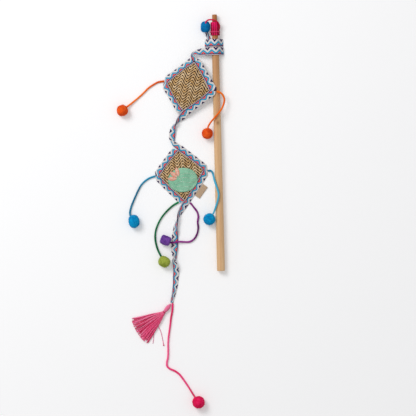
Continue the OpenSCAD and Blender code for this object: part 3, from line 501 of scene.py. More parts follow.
suedes = {name: suedeMaterial(name, *row) for name, row in {
    "orange": ((238, 98, 8), (204, 62, 0), (246, 122, 30)),
    "blue": ((16, 132, 170), (0, 90, 124), (84, 182, 214)),
    "green": ((0, 120, 70), (0, 84, 44), (20, 146, 92)),
    "purple": ((114, 16, 110), (76, 0, 80), (156, 50, 146)),
    "pink": ((240, 42, 112), (196, 6, 60), (252, 96, 152)),
    # painted shade: a darker copy of the pink suede, for the side strands of the tip bundle
    "shadedCrimson": ((172, 2, 54), (126, 0, 32), (214, 22, 84)),
    "rose": ((246, 22, 112), (200, 2, 72), (252, 66, 144)),
    "ruby": ((200, 0, 62), (160, 0, 38), (212, 6, 76))}.items()}
tasselYarn = yarnMaterial("tasselYarn", (250, 92, 146), (212, 30, 84), (254, 166, 202))
sewingThread = yarnMaterial("sewingThread", (66, 46, 106), (46, 28, 80), (96, 78, 134))
paleThread = yarnMaterial("paleThread", (214, 224, 206), (182, 198, 178), (240, 244, 232))

# Geometry trees
# Twisted yarn along every edge path of the piece; "size" on its points is the yarn's radius share
g, i, o = geometryGroup("pliedYarn",
                        {"Yarn Radius": 0.0004, "Twist": 2500.0, "Step": 0.0008, "Plies": 3, "Lobe": 0.72})
curve = g.one("GeometryNodeMeshToCurve", {0: i["Geometry"]})
curve = g.one("GeometryNodeResampleCurve", {"Curve": curve, "Length": i["Step"]}, mode="LENGTH")
radius = g.mul(g.named("size"), i["Yarn Radius"])
curve = g.one("GeometryNodeSetCurveRadius", {"Curve": curve, "Radius": radius})
length = g.add("GeometryNodeSplineParameter").outputs["Length"]
curve = g.one("GeometryNodeSetCurveTilt", {"Curve": curve, "Tilt": g.mul(length, i["Twist"])})
profile = g.one("GeometryNodeCurveStar",
                {"Points": i["Plies"], "Inner Radius": i["Lobe"], "Outer Radius": 1.0})
mesh = g.one("GeometryNodeSetShadeSmooth", {"Geometry": g.sweep(curve, profile, radius)})
pliedYarn = g.result(o, g.one("GeometryNodeRealizeInstances", {0: mesh}), i["Material"])

# Short loose fibres standing off a felted surface
g, i, o = geometryGroup("feltFuzz", {"Density": 1.0e6, "Fibre Length": 0.0012, "Lay": 1.1, "Seed": 1})
points = g.add("GeometryNodeDistributePointsOnFaces",
               {"Mesh": i["Geometry"], "Density": i["Density"], "Seed": i["Seed"]},
               distribute_method="RANDOM").outputs
thin = g.one("GeometryNodeCurvePrimitiveCircle", {"Resolution": 3, "Radius": 0.03}, mode="RADIUS")
fibre = g.sweep(g.bow(3, (0.0, 0.0, -0.1), (0.05, 0.0, 0.6), (0.5, 0.0, 0.8), 1.0), thin)
lean = g.mul(g.draw(-1.0, 1.0, g.plus(i["Seed"], 7.0)), i["Lay"])
local = g.one("FunctionNodeEulerToRotation", {0: g.xyz(lean, 0.0, g.draw(0.0, 6.2832, i["Seed"]))})
turn = g.one("FunctionNodeRotateRotation", {0: points["Rotation"], 1: local}, rotation_space="LOCAL")
length = g.mul(g.draw(0.4, 1.0, g.plus(i["Seed"], 3.0)), i["Fibre Length"])
fibres = g.one("GeometryNodeInstanceOnPoints",
               {"Points": points["Points"], "Instance": fibre, "Rotation": turn, "Scale": length})
fibres = g.one("GeometryNodeRealizeInstances", {0: fibres})
feltFuzz = g.result(o, g.join([i["Geometry"], fibres]), i["Material"])

# Herringbone strands over a crowned sheet: columns of straight strands that lean left and right in turn, with
# bent strands between them; they are laid flat, drawn in at the outline and then dropped on the sheet
g, i, o = geometryGroup("herringbone",
                        {"Column": 0.00375, "Row": 0.0032, "Strand Width": 1.15, "Strand Height": 0.45,
                         "Half Width": 0.025, "Half Length": 0.028, "Columns": 15, "Rows": 23, "Seed": 4})


def reachHere():  # the place of each point, and its share of the way from the middle to the outline
    spot = g.split(g.one("GeometryNodeInputPosition"))
    shares = (g.math("DIVIDE", spot[0], i["Half Width"]), g.math("DIVIDE", spot[1], i["Half Length"]))
    return spot, g.plus(*(g.size(c) for c in shares))


columns, rows = i["Columns"], i["Rows"]
grid = g.one("GeometryNodeMeshGrid", {"Size X": g.mul(g.math("SUBTRACT", columns, 1.0), i["Column"]),
                                      "Size Y": g.mul(g.math("SUBTRACT", rows, 1.0), i["Row"]),
                                      "Vertices X": columns, "Vertices Y": rows})
index = g.plus(g.one("GeometryNodeInputIndex"), 0.5)
kind = g.math("ROUND", g.math("MODULO", g.math("FLOOR", g.math("DIVIDE", index, rows)), 4.0))
climb = g.math("SUBTRACT", 2.0, g.size(g.math("SUBTRACT", kind, 2.0)))
jitter = g.one("FunctionNodeRandomValue", data_type="FLOAT_VECTOR",
               inputs={0: (-0.00012, -0.00014, 0.0), 1: (0.00012, 0.00014, 0.0), "Seed": i["Seed"]})
offset = g.xyz(0.0, g.math("FLOORED_MODULO", g.mul(climb, i["Column"]), i["Row"]), 0.0)
spots = g.one("GeometryNodeSetPosition", {"Geometry": grid, "Offset": g.vec("ADD", offset, jitter)})
spots = g.store(spots, "kind", kind, "POINT")
outside = g.math("GREATER_THAN", reachHere()[1], 1.03)
spots = g.one("GeometryNodeDeleteGeometry", {"Geometry": spots, "Selection": outside}, domain="POINT")
swell = g.math("SINE", g.mul(g.add("GeometryNodeSplineParameter").outputs["Factor"], 3.1416))
lobes = g.one("GeometryNodeCurveStar", {"Points": 7, "Inner Radius": 0.84, "Outer Radius": 1.0})
lobes = g.one("GeometryNodeTransform",
              {"Geometry": lobes, "Scale": g.xyz(i["Strand Width"], i["Strand Height"], 1.0)})
kept = g.named("kind")
bent = g.math("LESS_THAN", g.math("MODULO", kept, 2.0), 0.5)
spin = g.plus(g.mul(g.math("COMPARE", kept, 2.0, 0.1), 3.14159),
              g.mul(g.math("COMPARE", kept, 3.0, 0.1), 1.5708))
size = g.draw(0.00095, 0.00105, g.plus(i["Seed"], 2.0))
laid = []
for start, middle, end, ends, gain, chosen in (
        ((-1.7, -1.7, 0.1), (0.0, 0.0, 0.85), (1.7, 1.7, 0.1), 0.9, -0.44, g.math("SUBTRACT", 1.0, bent)),
        ((-1.6, 1.6, 0.1), (0.0, -1.5, 0.95), (1.6, 1.6, 0.1), 0.5, 0.44, bent)):
    fat = g.plus(ends, g.mul(swell, gain))
    bow = g.one("GeometryNodeSetCurveNormal", {"Curve": g.bow(10, start, middle, end, fat)})
    strand = g.one("GeometryNodeSetShadeSmooth", {"Geometry": g.sweep(bow, lobes, fat)})
    laid.append(g.one("GeometryNodeInstanceOnPoints",
                      {"Points": spots, "Instance": strand, "Selection": chosen, "Scale": size,
                       "Rotation": g.xyz(0.0, 0.0, spin)}))
strands = g.store(g.join(laid), "tone", g.draw(0.0, 1.0, g.plus(i["Seed"], 5.0)), "INSTANCE")
strands = g.one("GeometryNodeRealizeInstances", {0: strands})
spot, over = reachHere()
over = g.math("MAXIMUM", over, 0.985)
pull = g.math("DIVIDE", 0.985, over)
drawn = g.xyz(g.mul(spot[0], pull), g.mul(spot[1], pull), g.mul(spot[2], g.remap(over, 0.9, 0.985, 1.0, 0.7)))
strands = g.one("GeometryNodeSetPosition", {"Geometry": strands, "Position": drawn})
above = g.vec("ADD", g.one("GeometryNodeInputPosition"), (0.0, 0.0, 0.05))
hit = g.add("GeometryNodeRaycast", {"Target Geometry": i["Geometry"], "Source Position": above,
                                    "Ray Direction": (0.0, 0.0, -1.0), "Ray Length": 1.0}).outputs
drop = g.xyz(0.0, 0.0, g.split(hit["Hit Position"])[2])
strands = g.one("GeometryNodeSetPosition", {"Geometry": strands, "Offset": drop})
herringbone = g.result(o, g.join([i["Geometry"], strands]), i["Material"])


def yarns(name, paths, material, radius, twist, step, tones=None, seed=1):  # one mesh of twisted yarns
    draw = random.Random(seed)
    points, edges, tone = [], [], []
    for k, path in enumerate(paths):
        edges += [(len(points) + j, len(points) + j + 1) for j in range(len(path) - 1)]
        points += [list(p) for p in path]
        tone += [tones[k] if tones else draw.random()] * len(path)
    piece = makeMesh(name, points, [], edges=edges, marks={"tone": tone, "size": [1.0] * len(points)})
    grow(piece, pliedYarn,
         {"Yarn Radius": radius * mm, "Twist": twist, "Step": step * mm, "Plies": 3, "Lobe": 0.72,
          "Material": material})
    return piece


# Camera first, straight above the photograph's middle
view = {"middle": (0.03256, -0.03069), "height": 2.2, "field": 0.4576}
camera = bpy.data.objects.new("camera", bpy.data.cameras.new("camera"))
camera.data.sensor_width = 36
camera.data.lens = camera.data.sensor_width * view["height"] / view["field"]
camera.data.clip_start, camera.data.clip_end = 0.05, 20
camera.location = (*view["middle"], view["height"])
bpy.context.scene.collection.objects.link(camera)
bpy.context.scene.camera = camera


# Felt balls
ballFelt = {"power": 2.3, "bumps": 0.012, "dent": 0.12, "fuzz": 1.6e6, "fibre": 1.0}


def feltBall(ball, body, seed, entry):
    bm = bmesh.new()
    bmesh.ops.create_icosphere(bm, subdivisions=5, radius=1.0)
    a, power, lumps = math.radians(ball["turn"]), ballFelt["power"] + ball.get("square", 0), ball["lumps"]
    shift = Vector((seed * 3.1, seed * 1.7, seed * 0.9))
    entryWay = Vector(entry).normalized()
    wide, long = ball["w"], ball["l"]
    points = []
    for v in bm.verts:
        d = v.co.normalized()
        r = (math.hypot(d.x, d.z)**power + abs(d.y)**power) ** (-1 / power)
        r *= 1 + lumps * noise.noise(d * 1.6 + shift) + lumps * 0.45 * noise.noise(d * 4.2 + shift) \
            + ballFelt["bumps"] * noise.noise(d * 13 + shift)
        r *= 1 + ball.get("tip", 0) * max(0.0, d.y) ** 3
        x, y, z = d.x * r * wide / 2, d.y * r * long / 2, d.z * r * wide / 2
        x, y = x * math.cos(a) - y * math.sin(a), x * math.sin(a) + y * math.cos(a)
        z = max(z, -wide / 2 + 0.12)
        # The ball is dented where the lace goes in
        near = max(0.0, (Vector((x, y, z)).normalized().dot(entryWay) - 0.93) / 0.07)
        points.append([c + q * (1 - ballFelt["dent"] * near**1.5) for c, q in zip(ball["centre"], (x, y, z))])
    faces = [[v.index for v in f.verts] for f in bm.faces]
    bm.free()
    piece = makeMesh(ball["name"], points, faces, sharp=180)
    grow(piece, feltFuzz, {"Density": ballFelt["fuzz"], "Fibre Length": ballFelt["fibre"] * mm, "Seed": seed,
                           "Material": felts[ball.get("look", ball["felt"])]})
    return finishPiece(piece, body, None, ball["felt"] + "_felt", ball["node"])


# Laces: route, diameter, colour and the ball that each goes into; a place without height lies on the floor
laceDiameter = 2.2
laces = {
    "orangeLaceLeft": {
        "node": "orange_lace_left", "body": "orange_left", "shade": "orange", "turn": 0.05,
        "route": [(-15.4, 108.7), (-22.5, 107.5), (-28, 104.5), (-33, 101), (-38, 96), (-44, 90.5),
                  (-50, 85.5, 1.7), (-55, 81.5, 3), (-58, 79.2, 4.4)],
        "ball": {"name": "orangeBallLeft", "node": "orange_pompom_left", "centre": (-61.4, 76.3, 6.05),
                 "w": 12.1, "l": 12.1, "turn": 20, "felt": "orange", "lumps": 0.05}},
    "orangeLaceRight": {
        "node": "orange_lace_right", "body": "orange_right", "shade": "orange", "turn": 0.03,
        "route": [(42.1, 97, 10.2), (45.5, 96, 10), (48.8, 93, 9), (50.5, 88, 7.8), (49.3, 82, 8),
                  (46, 75.7, 9.5), (41.5, 70, 10.4), (36.5, 64.4, 9.6), (33, 59, 8.4), (31.8, 54.5, 7.4)],
        "ball": {"name": "orangeBallRight", "node": "orange_pompom_right", "centre": (31.8, 51.0, 5.9),
                 "w": 11.8, "l": 11.8, "turn": 0, "felt": "orange", "lumps": 0.04}},
    "blueLaceLeft": {
        "node": "blue_lace_left", "body": "blue_left", "shade": "blue", "turn": 0.06,
        "route": [(-25.4, 4.4), (-32, 2), (-36.5, -1), (-40.5, -5), (-44, -11), (-47, -17.5), (-49.8, -24),
                  (-52, -30), (-53.2, -35.5, 1.7), (-52.8, -39, 3), (-51.5, -41.5, 4.4)],
        "ball": {"name": "blueBallLeft", "node": "blue_pompom_left", "centre": (-48.6, -45.4, 5.95),
                 "w": 11.9, "l": 14.3, "turn": 12, "felt": "blue", "lumps": 0.05}},
    "blueLaceRight": {
        "node": "blue_lace_right", "body": "blue_right", "shade": "blue", "turn": 0.04,
        "route": [(32.7, 10), (35.2, 10.4, 2.2), (37.2, 8.6, 4.2), (38.4, 5, 6.3), (39.3, 1, 8),
                  (41, -4.5, 9.6), (43, -10.5, 10.3), (44.2, -16, 10.5), (43.2, -22.5, 10.3),
                  (41.2, -29, 9.3), (38.9, -35.5, 8.2), (36.6, -39.6, 7.4)],
        "ball": {"name": "blueBallRight", "node": "blue_pompom_right", "centre": (34.1, -42.9, 6.35),
                 "w": 12.7, "l": 12.7, "turn": 30, "felt": "blue", "lumps": 0.05}},
    "greenLace": {
        "node": "green_lace", "body": "green", "shade": "green", "turn": 0.05,
        "route": [(0.4, -24.2), (-5.5, -27.7), (-10.5, -32), (-15.5, -37.3), (-20, -43.7), (-23.2, -50.4),
                  (-25.2, -57.5), (-25.5, -64), (-24.4, -71), (-22, -78, 1.9), (-19.5, -82.8, 3.2),
                  (-17.5, -86, 4.4)],
        "ball": {"name": "oliveBall", "node": "olive_pompom", "centre": (-15.65, -89.6, 5.9), "w": 11.8,
                 "l": 13.2, "turn": 64, "felt": "olive", "lumps": 0.03, "tip": -0.05}},
    "purpleLace": {
        "node": "purple_lace", "body": "purple", "shade": "purple", "turn": 0.32,
        "route": [(13, -24.9), (17, -30), (20.6, -35), (21.9, -40), (21.2, -46), (21.8, -52.5),
                  (20.4, -59.5), (17.3, -64.7), (12.5, -67.8), (6.5, -68, 1.6), (1, -67.8, 2.7),
                  (-3.5, -68.3, 3.1), (-8.1, -68.8, 3.5), (-11, -67.8, 4.2)],
        "ball": {"name": "purpleBall", "node": "purple_pompom", "centre": (-14.0, -66.2, 5.2), "w": 10.4,
                 "l": 11.4, "turn": 70, "felt": "purple", "lumps": 0.03, "square": 1.6}},
    "pinkLace": {
        "node": "pink_lace", "body": "pink", "shade": "pink", "turn": 0.04,
        "route": [(-6.4, -135.4), (-6.7, -144), (-8, -151), (-8.8, -158), (-9.8, -165.5), (-10.8, -173),
                  (-11.3, -180), (-11.2, -187.5), (-11.5, -195), (-12.6, -200.5), (-12.4, -204.5),
                  (-9.4, -207.4), (-4, -209.8), (1, -213.5), (5.2, -218.8), (9.2, -224.5), (13.6, -231.4),
                  (17.4, -237.4, 2.6), (20, -241.2, 4.6)],
        "ball": {"name": "pinkBall", "node": "pink_pompom", "centre": (22.2, -243.8, 6.6), "w": 13.2,
                 "l": 13.2, "turn": 10, "felt": "pink", "lumps": 0.04}},
    "tipLace": {
        "node": "tip_lace", "body": "tip_dangle", "shade": "pink", "look": "ruby", "d": 1.8, "turn": 0.05,
        "route": [(44.4, 164.9, 4.9), (45, 167, 5.3), (44.9, 169.5, 6.6), (43.7, 172, 8.9),
                  (41, 174.3, 10.3), (37, 175.4, 10.3), (33.5, 175.3, 10.1), (30.9, 174, 10.1),
                  (29.9, 171.8, 9.9), (29.9, 169.6, 8.8), (29.9, 168, 6.8)],
        # the tip ball keeps the blue felt's slot but wears its darker painted-shade copy
        "ball": {"name": "tipBall", "node": "tip_pompom", "centre": (29.8, 168.0, 6.0), "w": 10.2,
                 "l": 11.9, "turn": 0, "felt": "blue", "look": "shadedBlue", "lumps": 0.08, "square": 0.7,
                 "entry": (0.0, 0.4, 0.9)}},
}
for number, (name, lace) in enumerate(laces.items(), 1):
    route, d = [(*p, 1.2)[:3] for p in lace["route"]], lace.get("d", laceDiameter)
    path = smoothRows(route, step=0.6)
    length = running(path)[-1]
    radius = [d / 2 * (1 + 0.05 * noise.noise(Vector((k * 0.07, number, 0)))) for k in range(len(path))]
    finishPiece(laceTube(name, path, radius, lace["turn"]), lace["body"],
                suedes[lace.get("look", lace["shade"])], lace["shade"] + "_suede", lace["node"])
    ball = lace["ball"]
    entry = ball.get("entry", [a - b for a, b in zip(route[-1], ball["centre"])])
    made = feltBall(ball, lace["body"], number, entry)
    count = int(min(40, max(15, length / 3)))
    [c * mm for c in path[0]]
    (smoothRows(path, count=count) * mm).tolist()
print("laces and felt balls")

# The wooden stick
stick = {"length": 281.4, "gripR": 4.4, "gripLen": 45, "tipR": 2.65, "taper": 44, "shoulderR": 3.85,
         "chamfer": 0.5, "lean": 1.46, "tip": (39.7, 181.6), "axisZ": 4.4, "sides": 56, "knotAt": 119,
         "knotAngle": 80, "knotSize": 2.1}
leanCos, leanSin = math.cos(math.radians(stick["lean"])), math.sin(math.radians(stick["lean"]))
gripStart = stick["length"] - stick["gripLen"]


def stickR(s):
    if s < stick["taper"]:
        return stick["tipR"] + (stick["shoulderR"] - stick["tipR"]) * s / stick["taper"]
    past = min(s, gripStart) - stick["taper"]
    return stick["shoulderR"] + (stick["gripR"] - stick["shoulderR"]) * past / (gripStart - stick["taper"])


def byStick(across, rise, s):
    x, y = stick["tip"]
    return np.array([x + across * leanCos + s * leanSin, y + across * leanSin - s * leanCos,
                     stick["axisZ"] + rise])


def byAngle(r, angle, s):  # the angle is counted from straight up, to the right
    a = math.radians(90 - angle)
    return byStick(r * math.cos(a), r * math.sin(a), s)


length, sides, chamfer = stick["length"], stick["sides"], stick["chamfer"]
points, uv, knots = [], [], []
marks = [0, 0.15, 0.5, *np.arange(2, length - 1, 1.6), length - 0.5, length - 0.15, length]
for s in marks:
    r, edge = stickR(s), min(s, length - s)
    if edge < chamfer:
        r -= chamfer - math.sqrt(max(0, chamfer ** 2 - (chamfer - edge) ** 2))
    for j in range(sides):
        a = 2 * math.pi * j / sides
        grain = 0.035 * noise.noise(Vector((math.cos(a) * 3, math.sin(a) * 3, s * 0.02)))
        away = math.hypot(s - stick["knotAt"], (a - math.radians(stick["knotAngle"])) * r)
        mark = math.exp(-(away / stick["knotSize"]) ** 2)
        rr = min(r, r + grain - 0.03 - 0.12 * mark) if edge > chamfer else r
        points.append(byStick(rr * math.cos(a), rr * math.sin(a), s))
        uv.append((j / sides, s))
        knots.append(min(1.0, mark * 0.8))
piece = makeMesh("stick", points + [byStick(0, 0, 0), byStick(0, 0, length)], rodFaces(len(marks), sides),
                 uv + [(0.5, 0), (0.5, length)], 50, marks={"knot": knots + [0, 0]})
finishPiece(piece, "stick", stickWood, "wood", "dowel")
print("stick")

# Ribbon, folded lengthwise
ribbon = {"width": 8.4, "leaf": 0.34, "thick": 1.1, "pressed": 0.5, "pressedLeaf": 0.2, "start": 26.8,
          "gap": 0.8, "right": 8.6, "left": 11.2, "foldX": 16.4, "foldZ": 4.3}
width, thick = ribbon["width"], ribbon["thick"]
wrapEnd = ribbon["start"] + 2 * width + ribbon["gap"]


# Outer and inner points (across, up) of a folded band, and each point's share across
def foldedSection(w, openH, foldH, leaf, puff, pleat, phase):
    bend, waves = w * 0.9, 4.4 * math.pi  # a little over two pleats
    line = []
    for q in np.linspace(0, 1, 9):
        line.append((bend * q, (openH - leaf / 2) * (1 - q) + (foldH - leaf / 2) * q
                     + puff * math.sin(math.pi * q) + pleat * math.sin(waves * q + phase)))
    low = [(x, -y + 2 * pleat * math.sin(waves * x / bend + phase)) for x, y in line]
    fold = [(bend + (w * 0.1 - leaf / 2) * math.sin(a), line[-1][1] * math.cos(a))
            for a in np.linspace(0, math.pi, 8)[1:-1]]
    line = np.array(line + fold + low[::-1])
    n = normals(line) * leaf / 2
    return line + n, line - n, np.clip(line[:, 0] / (w - leaf / 2), 0, 1)


# Lofts the folded section through stations: open edge, fold edge, up, open height, fold height, pleat
def bandMesh(name, stations, leaf, shift=0.0, loop=False, puff=0.05, cell=None, wide=width):
    points, uv = [], []
    run = running([(s[0] + s[1]) / 2 for s in stations])
    for k, (openP, foldP, upward, openH, foldH, *pleat) in enumerate(stations):
        w = np.linalg.norm(foldP - openP)
        a = (foldP - openP) / w
        outer, inner, share = foldedSection(w, openH, foldH, leaf, puff, pleat[0] if pleat else 0.0,
                                            0.35 * run[k])
        for row, shares in ((outer, share), (inner[::-1], share[::-1])):
            for (x, y), v in zip(row, shares):
                p = openP + a * x + upward * y
                points.append(p)
                uv.append((cell(p), v) if cell else
                          ((run[k] + shift) / ribbonWeave["repeat"], v * wide / ribbonWeave["full"]))
    return makeMesh(name, points, bandFaces(len(stations), 2 * len(share), loop), uv, 50)


def finishBand(piece, body, *nodes):
    return finishPiece(piece, body, wovenRibbon, "ribbon", *nodes)


def arc(r, a0, a1, count, x=0.0, y=0.0):
    return [(x + r * math.cos(a), y + r * math.sin(a)) for a in np.linspace(a0, a1, count)]


def touch(r, x, y):  # angle at which a line from a point touches the circle
    return math.atan2(y, x) + math.acos(r / math.hypot(x, y))


# Middle line of a flattened loop round the stick, seen along it
def turnPath(r, left, right, low, bend):
    quarter, level = math.pi / 2, low + bend
    corners = arc(bend, -quarter, quarter, 9, right - bend, level)
    corners += arc(r, touch(r, right, low + 2 * bend), math.pi - touch(r, left, low + 2 * bend), 30)
    corners += arc(bend, quarter, 3 * quarter, 9, -left + bend, level)
    return np.array(dense(corners + corners[:1]))


acrossWay = np.array([leanCos, leanSin, 0])


def ringStation(p, n, low, high, openH, foldH):  # a station of ribbon laid round the stick
    return byStick(p[0], p[1], low), byStick(p[0], p[1], high), acrossWay * n[0] + up * n[1], openH, foldH


for k, (name, shift) in enumerate((("ribbonTurnUpper", 5.6), ("ribbonTurnLower", 8.6))):
    begin, half = ribbon["start"] + k * (width + ribbon["gap"]), ribbon["pressed"] / 2
    r = stickR(begin + width) + 0.05 + half
    path = turnPath(r, ribbon["left"] - 0.02, ribbon["right"], -stick["axisZ"] + 0.26, 0.27)
    t = np.roll(path, -1, axis=0) - np.roll(path, 1, axis=0)
    ways = np.stack([t[:, 1], -t[:, 0]], 1) / np.linalg.norm(t, axis=1)[:, None]
    stations = [ringStation(p, n, begin + width, begin, half, half) for p, n in zip(path, ways)]
    finishBand(bandMesh(name, stations, ribbon["pressedLeaf"], shift, True, 0, wide=7.6), "stick",
               "ribbon_wrap")

# The run leaves the lower turn and goes left to the fold; shares of its way, and of the width at both edges
runShares = np.array([[0, 1, 0], [0.5, 1, 0.05], [0.637, 1, 0.14], [0.75, 0.92, 0.26], [0.854, 0.87, 0.38],
                      [0.948, 0.9, 0.58], [1, 0.98, 0.8]])
runReach = stick["tip"][0] - ribbon["foldX"] + 0.44 * width
runR = stickR(wrapEnd) + 0.05 + 0.5 + 0.12 + 0.3
runBegin = ribbon["start"] + width + ribbon["gap"]
endY, startX, startY = ribbon["foldZ"] - stick["axisZ"] + 0.38, ribbon["right"] + 0.1, -stick["axisZ"] + 1.5
corners = [(startX, startY),
           *arc(runR, touch(runR, startX, startY), math.pi - touch(runR, runReach, endY), 24),
           (-runReach, endY)]
path = np.array(dense(corners) + corners[-1:])
stations = []
for p, n in zip(path, -normals(path)):
    share = np.clip(-p[0] / runReach, 0, 1)
    low, high = (runBegin + np.interp(share, runShares[:, 0], runShares[:, c]) * width for c in (1, 2))
    stations.append(ringStation(p, n, low, high, 0.36, 0.38))
finishBand(bandMesh("ribbonRun", stations, 0.26, 7.1, wide=7.6), "stick", "ribbon_run")

# Free end on the floor, beside the tip
endRows = [[-0.5, 0, -1.1, 0], [-0.66, -0.35, -1.16, -0.3], [-0.8, -0.65, -1.24, -0.6],
           [-0.92, -0.95, -1.26, -0.86], [-1.06, -1.15, -1.14, -1.13]]
stations = []
for a, s, b, t in smoothRows(endRows, step=0.05, lead=2):
    low, high = (byStick(x * width, -stick["axisZ"] + 0.3, ribbon["start"] + y * width)
                 for x, y in ((a, s), (b, t)))
    stations.append((low, high, up, 0.27, 0.27))
finishBand(bandMesh("ribbonEnd", stations, 0.22, 3.0), "stick", "ribbon_end")

# Kites
mat = {"halfW": 23.2, "halfL": 25.9, "thick": 1.2, "crown": 3.4, "seam": 1.6, "backing": 0.55, "gap": 0.05,
       "backingZ": 0.4, "matZ": 1.05}
halfW, halfL, backingZ, matZ = (mat[k] for k in ("halfW", "halfL", "backingZ", "matZ"))
matSide = math.hypot(halfW, halfL)
sideReach = halfW * halfL / matSide
seamScale = (sideReach + mat["seam"]) / sideReach
seamW, seamL = halfW * seamScale, halfL * seamScale
rimT = 2 * 0.35 + mat["backing"] + mat["thick"] + 5 * mat["gap"]
kites = {"upper": {"x": 11.2, "y": 102.7, "turn": -11.5, "body": "upper_kite", "seed": 4},
         "lower": {"x": 2.9, "y": 6.5, "turn": 6.3, "body": "lower_kite", "seed": 9}}


def bluntV(cut):
    return (halfW * halfL + width * matSide - (halfW + cut) * halfL) / halfW


# The upper kite leans, as its right corner lies on the stick
turn, cut = math.radians(kites["upper"]["turn"]), 0.64 * width
reach = (halfW + cut) * math.cos(turn) - bluntV(cut) * math.sin(turn)
down = stick["tip"][1] - kites["upper"]["y"]
leanReach = stick["tip"][0] + down * math.tan(math.radians(stick["lean"])) - kites["upper"]["x"] + reach
rise = stickR(down) + 0.35
tilt = math.asin(rise / math.hypot(leanReach, stick["axisZ"])) + math.atan(stick["axisZ"] / leanReach)
for kite, lay in kites.items():
    lean = tilt if kite == "upper" else 0
    lay["place"] = (Matrix.Translation((lay["x"] * mm, lay["y"] * mm, reach * math.sin(lean) * mm))
                    @ Matrix.Rotation(-lean, 4, "Y") @ Matrix.Rotation(math.radians(lay["turn"]), 4, "Z"))


def onKite(kite, u, v, z):
    return np.array(kites[kite]["place"] @ Vector((u * mm, v * mm, z * mm))) / mm


def sideOf(side, half):  # outward way, tip, corner, way along and length of one side of a mat
    tip, corner = np.array([0, half * halfL]), np.array([side * halfW, 0.0])
    return (np.array([side * halfL, half * halfW]) / matSide, tip, corner, unit(corner - tip),
            np.linalg.norm(corner - tip))


# Small shifts of the corners (top, right, bottom, left) and the bow of the sides, for each edge
drifts = {
    "upper": {"open": [(1.42, 0.91), (0.51, -0.27), (-0.5, -0.83), (-0.09, -1.01), 1.07],
              "fold": [(1.6, -0.68), (-0.17, 0.72), (-0.46, 0.39), (0.93, -0.87), -0.47]},
    "lower": {"open": [(-0.18, -0.27), (1.35, 2.01), (1.18, -3.07), (-0.65, 0.57), 0.71],
              "fold": [(-0.2, -1.97), (-0.22, 1.32), (0.49, 0.2), (2.0, 0.99), 0.09]},
}


def drift(kite, line, side, half, share):
    rows = drifts[kite][line]
    share = min(max(share, 0.0), 1.0)
    return (np.array(rows[1 - half]) * (1 - share) + np.array(rows[2 - side]) * share
            + sideOf(side, half)[0] * 4 * rows[4] * share * (1 - share))


def drawOut(piece, kite):  # moves a flat-laid mesh of a kite with its corners
    places = np.zeros(3 * len(piece.data.vertices), np.float32)
    piece.data.vertices.foreach_get("co", places)
    places = places.reshape(-1, 3) / mm
    s, t = np.clip(shareOnMat(places[:, 0], places[:, 1]), -1, 1)
    weights = ((1 + s) * (1 - t) / 4, (1 + s) * (1 + t) / 4, (1 - s) * (1 + t) / 4, (1 - s) * (1 - t) / 4)
    for share, shift in zip(weights, drifts[kite]["open"]):
        places[:, :2] += share[:, None] * np.array(shift)
    piece.data.vertices.foreach_set("co", (places * mm).ravel())
    piece.data.transform(kites[kite]["place"])


def crownAt(s, t):
    return mat["crown"] * (max(0, 1 - (s * seamScale) ** 2) * max(0, 1 - (t * seamScale) ** 2)) ** 0.6


def rhombusAt(s, t, bow=0.012):
    a, b = s * (1 - bow * (1 - t * t)), t * (1 - bow * (1 - s * s))
    return (a + b) / 2 * halfW * seamScale, (a - b) / 2 * halfL * seamScale


def shareOnMat(x, y):
    a, b = x / seamW, y / seamL
    return a + b, a - b


def onMat(x, y, *lifts):
    return np.array([x, y, sum(lifts, matZ + crownAt(*shareOnMat(x, y)) + mat["thick"])])


# A slab over a mat's rhombus; levels gives its top and bottom height at a place and its shares
def slab(name, kite, reach, count, levels, bow=0.012, uv=False, marks=None):
    steps = np.linspace(-reach, reach, count)
    flat = [(*rhombusAt(s, t, bow), s, t) for s in steps for t in steps]
    tops, lows = zip(*(levels(*p) for p in flat))
    points = [(*p[:2], z) for heights in (tops, lows) for p, z in zip(flat, heights)]
    marks = {k: [v] * len(points) for k, v in (marks or {}).items()}
    uv = [p[:2] for p in points] if uv else None
    return makeMesh(kite + name, points, slabFaces(count), uv, 60, marks=marks)


weaveLay = {"Column": 2.95 * mm, "Row": 3.2 * mm, "Strand Width": 1.0, "Strand Height": 0.45,
            "Half Width": seamW * mm, "Half Length": seamL * mm, "Columns": 19, "Rows": 21,
            "Material": seagrassStrand}


def sheetLevels(x, y, s, t):
    z = matZ + crownAt(s, t)
    return z + 0.3, z


def fillingLevels(x, y, s, t):
    return matZ + crownAt(s, t) - 0.15 - 0.12 * draw.random(), backingZ + mat["backing"] + 0.06


def backingLevels(x, y, s, t):
    ripple = 0.08 * noise.noise(Vector((x * 0.12, y * 0.12, 1.0)))
    return backingZ + mat["backing"] * 0.9 + ripple, backingZ + 0.05 + ripple


# Crowned base sheet with the strands over it, crumbled herb under it and the backing cloth; the base sheet is
# painted near-black brown, as painted shade in the slots between the strands
for kite, lay in kites.items():
    piece = slab("Mat", kite, 1, 41, sheetLevels, marks={"paintedSlotShade": 1.0, "tone": 0.2})
    grow(piece, herringbone, {**weaveLay, "Seed": lay["seed"]})
    drawOut(piece, kite)
    finishPiece(piece, lay["body"], None, "seagrass", kite + "_mat")
    draw = random.Random(5)
    filling = slab("Filling", kite, 0.84, 25, fillingLevels)
    backing = slab("Backing", kite, 0.96, 25, backingLevels, bow=0, uv=True)
    for piece, material, slot, node in ((filling, driedHerb, "catnip", "_filling"),
                                        (backing, canvasCloth, "canvas", "_backing")):
        drawOut(piece, kite)
        finishPiece(piece, lay["body"], material, slot, kite + node)
print("mats")


